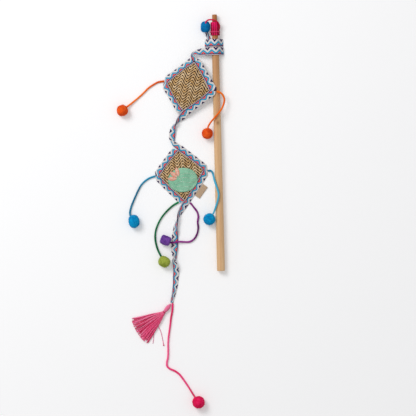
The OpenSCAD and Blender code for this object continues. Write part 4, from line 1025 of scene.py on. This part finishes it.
# Stations of one straight side of the border, from the top or bottom corner to the mitre at the side corner
def sideBand(kite, side, half, cut, phase, past):
    n, tip, corner, way, total = sideOf(side, half)
    openLine = [tip + way * total * q for q in np.linspace(0, 1, 9)]
    foldLine = [tip + n * width + way * total * q for q in np.linspace(0, 1, 9)]
    openLine[-1:] = [corner - way * 1.6, corner]
    foldLine[-1:] = [np.array([side * (halfW + cut), half * bluntV(cut)]),
                     np.array([side * (halfW + cut), 0.0])]
    foldLine = [p for p in foldLine[:-2] if np.dot(foldLine[-2] - p, way) > 0.5] + foldLine[-2:]
    openLine = openLine[:len(foldLine) - 2] + openLine[-2:]
    openLine, foldLine = ([np.array(pair[k]) for pair in past]
                          + [p + drift(kite, edge, side, half, np.dot(p - tip, way) / total) for p in line]
                          for k, (line, edge) in enumerate(((openLine, "open"), (foldLine, "fold"))))
    stations, upward = [], np.array(kites[kite]["place"].to_3x3() @ Vector((0, 0, 1)))
    lower = (0.04, 0.03) if half == -1 else (0, 0)
    for k in range(len(openLine) - 1):
        steps = max(2, int(np.linalg.norm(foldLine[k + 1] - foldLine[k]) / 0.9))
        for j in range(steps + (k == len(openLine) - 2)):
            q = j / steps
            a, b = (line[k] * (1 - q) + line[k + 1] * q for line in (openLine, foldLine))
            dist = np.dot(a - tip, way)
            sag = 0.12 * noise.noise(Vector((dist * 0.22, side * 3.0, half * 5.0)))
            over = 1.15 * min(max(-dist / 4.5, 0), 1)  # the free start lies on the loose ribbon
            openH = rimT / 2 - (rimT - thick) / 2 * min(max(-dist / 4, 0), 1)
            stations.append((onKite(kite, *a, openH + over), onKite(kite, *b, thick / 2 + 0.1 + over), upward,
                             openH - lower[0], thick / 2 + 0.06 + sag * 0.5 - lower[1]))
    inverse = kites[kite]["place"].inverted()

    def cell(p):  # the pattern has a valley at the side corner
        local = inverse @ Vector([c * mm for c in p])
        run = np.dot(np.array([local.x, local.y]) / mm - tip, way) - total
        return (phase + (run if run < 0 else run * 0.6)) / ribbonWeave["repeat"]
    return stations, cell


borderLay = {
    "upperRight": {"kite": "upper", "side": 1, "cut": 0.92, "phases": {1: -1.6, -1: 4.1},
                   "node": "upper_border_right"},
    "upperLeft": {"kite": "upper", "side": -1, "cut": 0.64, "phases": {1: -3.5, -1: -1.1},
                  "node": "upper_border_left"},
    "lowerRight": {"kite": "lower", "side": 1, "cut": 0.74, "phases": {1: -3.0, -1: -3.9},
                   "node": "lower_border_right",
                   "past": (((-5.29, 31.37), (-8.27, 39.04)), ((-2.6, 28.6), (-1.7, 35.4)))},
    "lowerLeft": {"kite": "lower", "side": -1, "cut": 0.82, "phases": {1: -0.3, -1: 2.6},
                  "node": "lower_border_left"},
}
for name, lay in borderLay.items():
    for half, word in ((1, "Top"), (-1, "Bottom")):
        stations, cell = sideBand(lay["kite"], lay["side"], half, lay["cut"] * width, lay["phases"][half],
                                  lay.get("past", ()) if half == 1 else ())
        finishBand(bandMesh(name + word, stations, ribbon["leaf"], cell=cell), kites[lay["kite"]]["body"],
                   lay["node"])
print("borders")


# Loose ribbon; rows: x, y, lowest z, angle of the left-hand direction, roll, width, open thickness, pleat
def looseBand(name, rows, shift, wide):
    stations = []
    for x, y, z, angle, roll, w, openT, pleat in smoothRows(rows, step=0.6, lead=2):
        left = np.array([math.cos(angle), math.sin(angle), 0])
        a = left * math.cos(roll) + up * math.sin(roll)
        upward = up * math.cos(roll) - left * math.sin(roll)
        openH, foldH = openT / 2, thick / 2
        low = min(-a[2] * w / 2 - abs(upward[2]) * openH, a[2] * w / 2 - abs(upward[2]) * foldH)
        centre = np.array([x, y, z - low])
        stations.append((centre - a * w / 2, centre + a * w / 2, upward, openH, foldH, pleat))
    return bandMesh(name, stations, ribbon["leaf"], shift, wide=wide)


# Rows from shares: of the way, aside in widths, roll in degrees, width, open thickness and pleat
def looseRows(top, way, shares, heights=()):
    heights = [*heights, *[0.0] * (len(shares) - len(heights))]
    places = [(top[0] + way[0] * s[0] + s[1] * width, top[1] + way[1] * s[0], z)
              for s, z in zip(shares, heights)]
    rows = []
    for k, ((x, y, z), (_, _, roll, wide, openShare, *pleat)) in enumerate(zip(places, shares)):
        ahead = np.array(places[min(k + 1, len(places) - 1)]) - np.array(places[max(k - 1, 0)])
        rows.append([x, y, z, math.atan2(ahead[0], -ahead[1]), math.radians(roll), wide * width,
                     openShare * thick, pleat[0] if pleat else 0.0])
    return rows


def kiteRow(kite, half, openT):  # row where the right-hand strip leaves the kite at its top or bottom corner
    n, tip = sideOf(1, half)[:2]
    a = onKite(kite, *(tip + drift(kite, "open", 1, half, 0)), rimT / 2)
    b = onKite(kite, *(tip + n * width + drift(kite, "fold", 1, half, 0)), thick / 2)
    d, low = unit(b - a), min(a[2] - rimT / 2, b[2] - thick / 2)
    return [*((a + b) / 2)[:2], low, math.atan2(d[1], d[0]), math.asin(d[2]), np.linalg.norm(b - a), openT,
            0.0]


linkTop, linkEnd = onKite("upper", 0, -halfL, 0), onKite("lower", 0, halfL, 0)
linkShares = [[0.156, -0.05, -8, 0.9, 1.3], [0.239, -0.4, -36, 0.76, 1.5], [0.285, -0.56, -54, 0.68, 1.8],
              [0.33, -0.71, -78, 0.6, 2], [0.355, -0.83, -98, 0.58, 2], [0.385, -0.98, -130, 0.6, 1.7],
              [0.42, -1.04, -150, 0.68, 1.4], [0.51, -1.07, -172, 0.8, 1.1], [0.626, -1.06, -180, 0.9, 1],
              [0.705, -1.02, -180, 0.8, 1], [0.77, -0.89, -180, 0.58, 1]]
rows = looseRows(linkTop, linkEnd - linkTop, linkShares, [linkTop[2] * c for c in (0.5, 0.2, 0.05)])
rows = [kiteRow("upper", -1, rimT)] + rows
link = looseBand("ribbonLink", rows, 2.0, 7.2)
finishBand(link, None, "ribbon_link_upper", "ribbon_link_lower")
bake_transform(link)

tailTop, tailWay = onKite("lower", 0, -halfL, 0), (-13, -117)
tailShares = [[0.074, 0.205, -8, 0.81, 1.2], [0.128, -0.158, -35, 0.71, 1.4],
              [0.165, -0.333, -56, 0.64, 1.7], [0.203, -0.452, -90, 0.55, 2.1],
              [0.241, -0.573, -124, 0.62, 1.7], [0.286, -0.62, -135, 0.71, 1.4],
              [0.322, -0.565, -155, 0.79, 1.2], [0.357, -0.548, -175, 0.86, 1],
              [0.408, -0.48, -180, 0.9, 1], [0.465, -0.43, -186, 0.92, 1.2],
              [0.535, -0.41, -230, 0.78, 2.6], [0.577, -0.3, -270, 0.72, 4.2],
              [0.624, -0.09, -306, 0.74, 3], [0.681, 0.07, -342, 0.76, 1.8], [0.747, 0.12, -358, 0.76, 1.2],
              [0.812, 0.18, -362, 0.7, 1.2, 0.05], [0.869, 0.15, -372, 0.6, 1.5, 0.14],
              [0.916, 0.1, -380, 0.46, 1.8, 0.24], [0.963, 0, -374, 0.41, 1.8, 0.28],
              [0.99, 0, -366, 0.36, 1.7, 0.28]]
rows = [kiteRow("lower", -1, rimT)] + looseRows(tailTop, tailWay, tailShares)
tailBand = looseBand("ribbonTail", rows, 3.2, 7.6)
finishBand(tailBand, None, "ribbon_tail_upper", "ribbon_tail_lower")
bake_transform(tailBand)

# The lead hangs from the fold at the end of the run
foldY = stick["tip"][1] - wrapEnd * leanCos - runReach * leanSin - 0.4
leadRows = [[15.6, foldY + 1.2, 2.9, 0.0, 0.0, 4.4, thick, 0.0],
            [16.4, foldY - 1.2, 2.8, 0.2, 0.0, 5.4, thick, 0.0],
            [18.9, foldY - 5.0, 2.9, math.radians(28), 0.0, 6.7, 1.5, 0.0], kiteRow("upper", 1, rimT)]
finishBand(looseBand("ribbonLead", leadRows, 1.0, 7.0), "upper_kite", "ribbon_lead")
print("ribbon")

# Laces laid along the tip, and the thread that binds them
bundle = {"d": 1.9, "start": 8, "len": 15, "angles": [-66, -36, -6, 24, 52, 72, 86],
          "starts": [0.6, 0, 0.45, 0.15, 0.75, 1.2, 9.2], "binding": 18.4, "turns": 5, "thread": 0.2}
binding, bundleEnd = bundle["binding"], bundle["start"] + bundle["len"]
for k, (angle, start) in enumerate(zip(bundle["angles"], bundle["starts"])):
    path = smoothRows([byAngle(stickR(s) + 0.1 + bundle["d"] / 2, angle, s)
                       for s in np.linspace(bundle["start"] + start, bundleEnd, 16)], step=0.25)
    radius = [bundle["d"] / 2 * (0.99 + 0.07 * math.sin(j * 1.25)
                                 - 0.16 * math.exp(-((s - binding - 0.75) / 1.3) ** 2))
              for j, s in enumerate(np.linspace(bundle["start"], bundleEnd, len(path)))]
    piece = laceTube("tipLaid" + str(k + 1), path, radius if k < 6 else bundle["d"] / 2, 0.04)
    # the top strands take the rose suede, the side strands its darker painted-shade copy
    finishPiece(piece, "stick", suedes["rose" if k in (1, 2, 3) else "shadedCrimson"], "pink_suede", "tip_laces")


def bindingR(angle):
    low = stickR(binding + 1.5) + 0.05
    a0, a1, soft = bundle["angles"][0] - 16, bundle["angles"][-1] + 16, 28
    share = np.clip(min((angle - a0 + soft) / soft, (a1 + soft - angle) / soft), 0, 1)
    return low + (bundle["d"] + 0.15) * share


helix = []
steps = bundle["turns"] * 40
for k in range(steps + 1):
    angle = (k * 9) % 360 - 180
    helix.append(byAngle(bindingR(angle) + bundle["thread"], angle, binding + 0.2 + 1.1 * k / steps))
piece = yarns("bindingThread", [helix], tasselYarn, bundle["thread"], 3500.0, 0.35, tones=[0.2])
finishPiece(piece, "stick", None, "pink_yarn", "lace_binding")

# Felt patch with its stitched leaf sprig
patch = {"w": 32.6, "h": 26.6, "thick": 0.7, "lift": 0.15, "place": (0.055 * halfW, -0.255 * halfL),
         "sides": 96, "stitchRing": 0.88, "stitches": 40, "dip": 0.16, "fuzz": 7.0e5, "fibre": 0.8}
patchTop = patch["lift"], patch["thick"]


def roundPatch(ring, a, lift):
    return onMat(patch["place"][0] + ring * patch["w"] / 2 * math.cos(a),
                 patch["place"][1] + ring * patch["h"] / 2 * math.sin(a), patch["lift"], lift)


rings = [0.04, 0.2, 0.4, 0.6, 0.75, 0.86, 0.93, 0.97, 0.99, 1.0]
points = []
for r, above in [(r, True) for r in rings] + [(r, False) for r in rings[::-1]]:
    rim = max(0, (r - 0.95) / 0.05) ** 2
    lift = 0.05 + 0.12 * rim
    if above:
        lift = patch["thick"] - patch["dip"] * math.exp(-((r - patch["stitchRing"]) / 0.03) ** 2) - 0.22 * rim
    for j in range(patch["sides"]):
        a = 2 * math.pi * j / patch["sides"]
        points.append(roundPatch(r * (1 + 0.004 * math.sin(9 * a) * (r > 0.9)), a, lift))
points += [roundPatch(0, 0, patch["thick"]), roundPatch(0, 0, 0.05)]
felt = makeMesh("feltPatch", points, rodFaces(2 * len(rings), patch["sides"]), sharp=70)
grow(felt, feltFuzz, {"Density": patch["fuzz"], "Fibre Length": patch["fibre"] * mm, "Seed": 31,
                      "Material": felts["sage"]})
felt.data.transform(kites["lower"]["place"])
finishPiece(felt, "lower_kite", None, "sage_felt", "felt_patch")

stitchPaths = []
for k in range(patch["stitches"]):
    a0, a1 = (2 * math.pi * (k + c) / patch["stitches"] for c in (0, 0.56))
    stitchPaths.append([roundPatch(patch["stitchRing"], a0 + (a1 - a0) * q,
                                   patch["thick"] - 0.12 + 0.24 * math.sin(math.pi * q))
                        for q in np.linspace(0, 1, 6)])
leafBase = (-0.1 * halfW, -0.18 * halfL)
sprig = {"length": 10.2, "angles": [100, 138, 176], "start": 0.25, "wide": 0.2}
leafEdge = [(-1, 0.16), (-0.92, 0.42), (-0.5, 0.52), (0, 0.44), (0.5, 0.52), (0.92, 0.42), (1, 0.16)]
leafRing = leafEdge + [(b, 0.12) for b, _ in leafEdge[::-1]]


def leafPoint(angle, share, aside, lift):
    a = math.radians(angle)
    along = sprig["length"] * (sprig["start"] + share)
    off = aside * sprig["length"] * sprig["wide"] * (0.1 + math.sin(math.pi * share) ** 0.9)
    return onMat(leafBase[0] + along * math.cos(a) - off * math.sin(a),
                 leafBase[1] + along * math.sin(a) + off * math.cos(a), *patchTop, lift)


points, faces = [], []
for angle in sprig["angles"]:
    base, n, count = len(points), len(leafRing), 15
    points += [leafPoint(angle, q, b, h) for q in np.linspace(0, 1, count) for b, h in leafRing]
    faces += gridFaces(count, n, True, base)
    faces += [tuple(base + j for j in range(n))[::-1], tuple(base + (count - 1) * n + j for j in range(n))]
    stitchPaths.append([leafPoint(angle, q, 0, 0.5 + 0.06 * math.sin(q * 26))
                        for q in np.linspace(0.05, 0.9, 16)])
leaf = makeMesh("leafSprig", points, faces, sharp=60)
leaf.data.transform(kites["lower"]["place"])
finishPiece(leaf, "lower_kite", felts["salmon"], "salmon_felt", "leaf_motif")
stitchPaths.append([onMat(leafBase[0] + 8 * c, leafBase[1] + 8 * s, *patchTop, 0.1)
                    for c, s in ((0.25, -0.3), (0.14, -0.1), (0.0, 0.06), (-0.12, 0.2))])
for row, (left, right) in enumerate(((-0.1, 0.8), (-0.25, 0.84), (-0.55, 0.8), (-0.45, 0.6))):
    s = 0.0
    while s < (right - left) * patch["w"] / 2 - 1.2:
        line = []
        for q in np.linspace(0, 1, 5):
            x = left + (s + 1.5 * q) / (patch["w"] / 2)
            y = 0.45 - 0.33 * row + 0.07 * math.sin(5.5 * x + row)
            line.append(onMat(patch["place"][0] + x * patch["w"] / 2, patch["place"][1] + y * patch["h"] / 2,
                              *patchTop, -0.05, 0.2 * math.sin(math.pi * q)))
        stitchPaths.append(line)
        s += 2.2
threads = yarns("patchStitches", stitchPaths, paleThread, 0.26, 3000.0, 0.4, seed=3)
threads.data.transform(kites["lower"]["place"])
finishPiece(threads, "lower_kite", None, "sage_felt")

# Running stitches that hold the borders on the mats
seam = {"in": 0.95, "long": 2.1, "pitch": 3.4, "radius": 0.13}
for kite in kites:
    paths = []
    for side, half in ((1, 1), (1, -1), (-1, 1), (-1, -1)):
        n, tip, _, way, total = sideOf(side, half)
        s = 1.2
        while s + seam["long"] < total - 0.8:
            row = []
            for q in np.linspace(0, 1, 5):
                along = s + seam["long"] * q
                p = tip + way * along + n * seam["in"] + drift(kite, "open", side, half, along / total)
                row.append(onKite(kite, *p, rimT - 0.18 + 0.3 * math.sin(math.pi * q) ** 0.6))
            paths.append(row)
            s += seam["pitch"]
    piece = yarns(kite + "Seam", paths, sewingThread, seam["radius"], 4000.0, 0.4, seed=8)
    finishPiece(piece, kites[kite]["body"], None, "ribbon")

# Folded cotton side tag
tag = {"len": 15.4, "wide": 6.4, "thick": 1.0, "layer": 0.35, "start": 0.29}
way, out = np.array([-halfW, -halfL]) / matSide, np.array([halfL, -halfW]) / matSide
origin = np.array([halfW, 0]) + way * matSide * tag["start"] + out * (width + 0.4)
fold, halfLayer = tag["wide"] * 0.9, tag["layer"] / 2
profile = [(fold * q - 0.25, tag["thick"] - halfLayer + 0.1 * math.sin(math.pi * q))
           for q in np.linspace(0, 1, 8)]
profile += [(fold - 0.25 + 0.6 * math.sin(a), tag["thick"] / 2 + (tag["thick"] / 2 - halfLayer) * math.cos(a))
            for a in np.linspace(0, math.pi, 8)[1:-1]]
profile = np.array(profile + [(x, halfLayer) for x in np.linspace(fold - 0.25, -0.25, 8)])
n, across = normals(profile) * halfLayer, running(profile)
points, uv = [], []
for s in np.linspace(0, tag["len"], 26):
    wave = 0.12 * math.sin(s * 0.55)
    for row, shares in ((profile + n, across), ((profile - n)[::-1], across[::-1])):
        for (x, z), c in zip(row, shares):
            points.append((*(origin + way * s + out * x), z + wave * max(0, x) / tag["wide"] + 0.15))
            uv.append((s, c))
piece = makeMesh("sideTag", points, bandFaces(26, 2 * len(profile)), uv, sharp=50)
piece.data.transform(kites["lower"]["place"])
finishPiece(piece, "tag", cottonTape, "cotton_tape", "side_tag")
print("patch, seams and tag")

# Tassel
tassel = {"angle": -129, "head": 11, "headD": 5, "neckD": 3.1, "topD": 1.2, "neckLen": 1.7, "skirt": 36.9,
          "yarn": 0.5}
tasselAt = (tailTop[0] + tailWay[0] - width * 0.13, tailTop[1] + tailWay[1] + width * 0.02)
angle, middleZ, neckR = math.radians(tassel["angle"]), tassel["headD"] / 2, tassel["neckD"] / 2
headRows = np.array([(0, 0), (0.18, 0.45), (0.34, 0.85), (0.5, 1), (0.7, 0.78), (0.88, 0.3), (1, 0)])
skirtStart = tassel["head"] + tassel["neckLen"] + 0.05


def onTassel(x, y, z):
    return np.array([tasselAt[0] + x * math.cos(angle) - y * math.sin(angle),
                     tasselAt[1] + x * math.sin(angle) + y * math.cos(angle), z])


def roundTassel(x, r, a):
    return onTassel(x, r * math.cos(a), middleZ + r * math.sin(a))


def headR(share):
    value = np.interp(share, headRows[:, 0], headRows[:, 1])
    return (value * tassel["headD"] + (1 - value) * (tassel["topD"] if share < 0.4 else tassel["neckD"])) / 2


def finishYarn(name, paths, radius, twist, step, tones, node):
    piece = yarns(name, paths, tasselYarn, radius, twist, step, tones=tones)
    finishPiece(piece, "tassel", None, "pink_yarn", node)


draw = random.Random(12)
paths, tones = [], []
for ring, count in ((1.0, 22), (0.62, 10)):
    for k in range(count):
        a0 = 2 * math.pi * k / count
        paths.append([roundTassel(q * tassel["head"], max(0.15, headR(q) - 0.42) * ring, a0 + 0.35 * q)
                      for q in np.linspace(0.0, 1.0, 12)])
        paths[-1] += [roundTassel(tassel["head"] + tassel["neckLen"] * q, (neckR - 0.45) * ring, a0 + 0.35)
                      for q in (0.5, 1)]
        tones.append(draw.uniform(0.35, 1.0) if draw.random() < 0.7 else draw.uniform(0, 0.3))
finishYarn("tasselHead", paths, 0.46, 1500.0, 0.6, tones, "tassel_head")

# The skirt: left and right edges in shares of its length, with the height and bulge at each of four rows
skirt = {"left": np.array([[0, -0.045], [0.25, -0.26], [0.49, -0.445], [0.703, -0.631]]),
         "right": np.array([[0, 0.04], [0.32, 0.116], [0.61, 0.155], [0.98, 0.21]]),
         "heights": [0.66, 0.85, 0.7, 0.45], "bulge": [0, 0.03, 0.07, 0.12], "strands": 150}
skirtRows = list(zip(skirt["left"], skirt["right"], skirt["heights"], skirt["bulge"]))
paths, tones = [], []
for k in range(skirt["strands"]):
    a = draw.uniform(0, 2 * math.pi)
    rho = math.sqrt(draw.random())
    if k % 3 == 0:
        rho = 1.0
    cosA, sinA = rho * math.cos(a), rho * math.sin(a)
    rowsHere = []
    for j, (left, right, height, bulge) in enumerate(skirtRows):
        h = tassel["headD"] * height
        p = (left + right) / 2 + (right - left) / 2 * cosA * 0.985 \
            + np.array([bulge * math.sqrt(max(0, 1 - cosA**2)), 0])
        low = 0 if j else (tassel["headD"] - h) / 2
        z = low + tassel["yarn"] + (h - 2 * tassel["yarn"]) * (1 + sinA) / 2
        jitter = draw.uniform(-0.006, 0.006) * (j > 0)
        rowsHere.append([skirtStart + p[0] * tassel["skirt"], (p[1] + jitter) * tassel["skirt"], z])
    path = smoothRows(rowsHere, count=16)
    path = smoothRows(path[: max(8, int(round(16 * draw.uniform(0.9, 1.0))))], count=16)
    wave = draw.uniform(0, 6.28)
    amp = draw.uniform(0.05, 0.3)
    line = [onTassel(p[0], p[1] + amp * q * math.sin(7 * q + wave),
                     max(tassel["yarn"], p[2] + 0.15 * q * math.cos(6 * q + wave)))
            for q, p in zip(np.arange(16) / 15, path)]
    line[0] = onTassel(skirtStart - 0.9, path[0][1] * 0.9, middleZ + (path[0][2] - middleZ) * 0.8)
    paths.append(line)
    tones.append(draw.uniform(0.2, 1.0) if draw.random() < 0.75 else 0.0)
finishYarn("tasselSkirt", paths, tassel["yarn"], 1900.0, 0.9, tones, "tassel_skirt")

strayShares = [[[0.65, 0.158], [0.76, 0.235], [0.91, 0.33]],
               [[0.4, 0.119], [0.5, 0.31], [0.61, 0.45], [0.746, 0.61]]]
paths = [smoothRows([onTassel(skirtStart + a * tassel["skirt"], b * tassel["skirt"], 0.5)
                     for a, b in shares], count=18)
         for shares in strayShares]
paths.append([paths[1][-1] + np.array([0.55 * math.cos(t), 0.55 * math.sin(t), 0.35 * math.sin(2 * t) + 0.25])
              for t in np.linspace(0, 9, 26)])  # a knot at the end of the second strand
finishYarn("tasselStrays", paths, 0.45, 1900.0, 0.6, [0.95, 0.8, 0.4], "tassel_strays")
tie = [roundTassel(tassel["head"] + 0.2 + 1.3 * k / 96, neckR + 0.12, 2 * math.pi * k / 24)
       for k in range(97)]
finishYarn("tasselTie", [tie], 0.2, 3500.0, 0.35, [0.1], "tassel_tie")
print("tassel")


# Floor, lights and world
studio = {"floor": 1500, "floorGlow": 0.18, "shadowLight": 0.52, "lightPlace": (-0.75, 0.75, 1.25),
          "lightSize": 0.7, "lightPower": 14, "lightTarget": (0.01, -0.03, 0)}


def seenDirectly(g):  # 1 for rays that the camera sees, straight or by a mirror or glass
    rays = g.add("ShaderNodeLightPath").outputs
    direct = g.math("MAXIMUM", rays["Is Camera Ray"], rays["Is Glossy Ray"])
    return g.math("MAXIMUM", direct, rays["Is Transmission Ray"])


corners = [(x * studio["floor"], y * studio["floor"], 0) for x, y in ((-1, -1), (1, -1), (1, 1), (-1, 1))]
floorMesh = makeMesh("floor", corners, [(0, 1, 2, 3)])
material, g, shader = newMaterial("paleFloor", 0.9, 0.05)
g.put(shader["Base Color"], (0.86, 0.86, 0.87, 1))
g.put(shader["Emission Color"], (1, 1, 1, 1))
g.put(shader["Emission Strength"], g.mul(seenDirectly(g), studio["floorGlow"]))
floorMesh.data.materials.append(material)

world = bpy.data.worlds.new("studio")
bpy.context.scene.world = world
world.use_nodes = True
g, background = Graph(world.node_tree), world.node_tree.nodes["Background"].inputs
g.put(background["Color"], (1, 1, 1, 1))
g.put(background["Strength"], g.remap(seenDirectly(g), 0, 1, studio["shadowLight"], 1.0))

light = bpy.data.objects.new("windowLight", bpy.data.lights.new("windowLight", "AREA"))
light.data.size, light.data.energy = studio["lightSize"], studio["lightPower"]
light.location = studio["lightPlace"]
way = Vector(studio["lightTarget"]) - light.location
light.rotation_euler = way.to_track_quat("-Z", "Y").to_euler()
bpy.context.scene.collection.objects.link(light)
bpy.context.scene.view_settings.view_transform = "Standard"
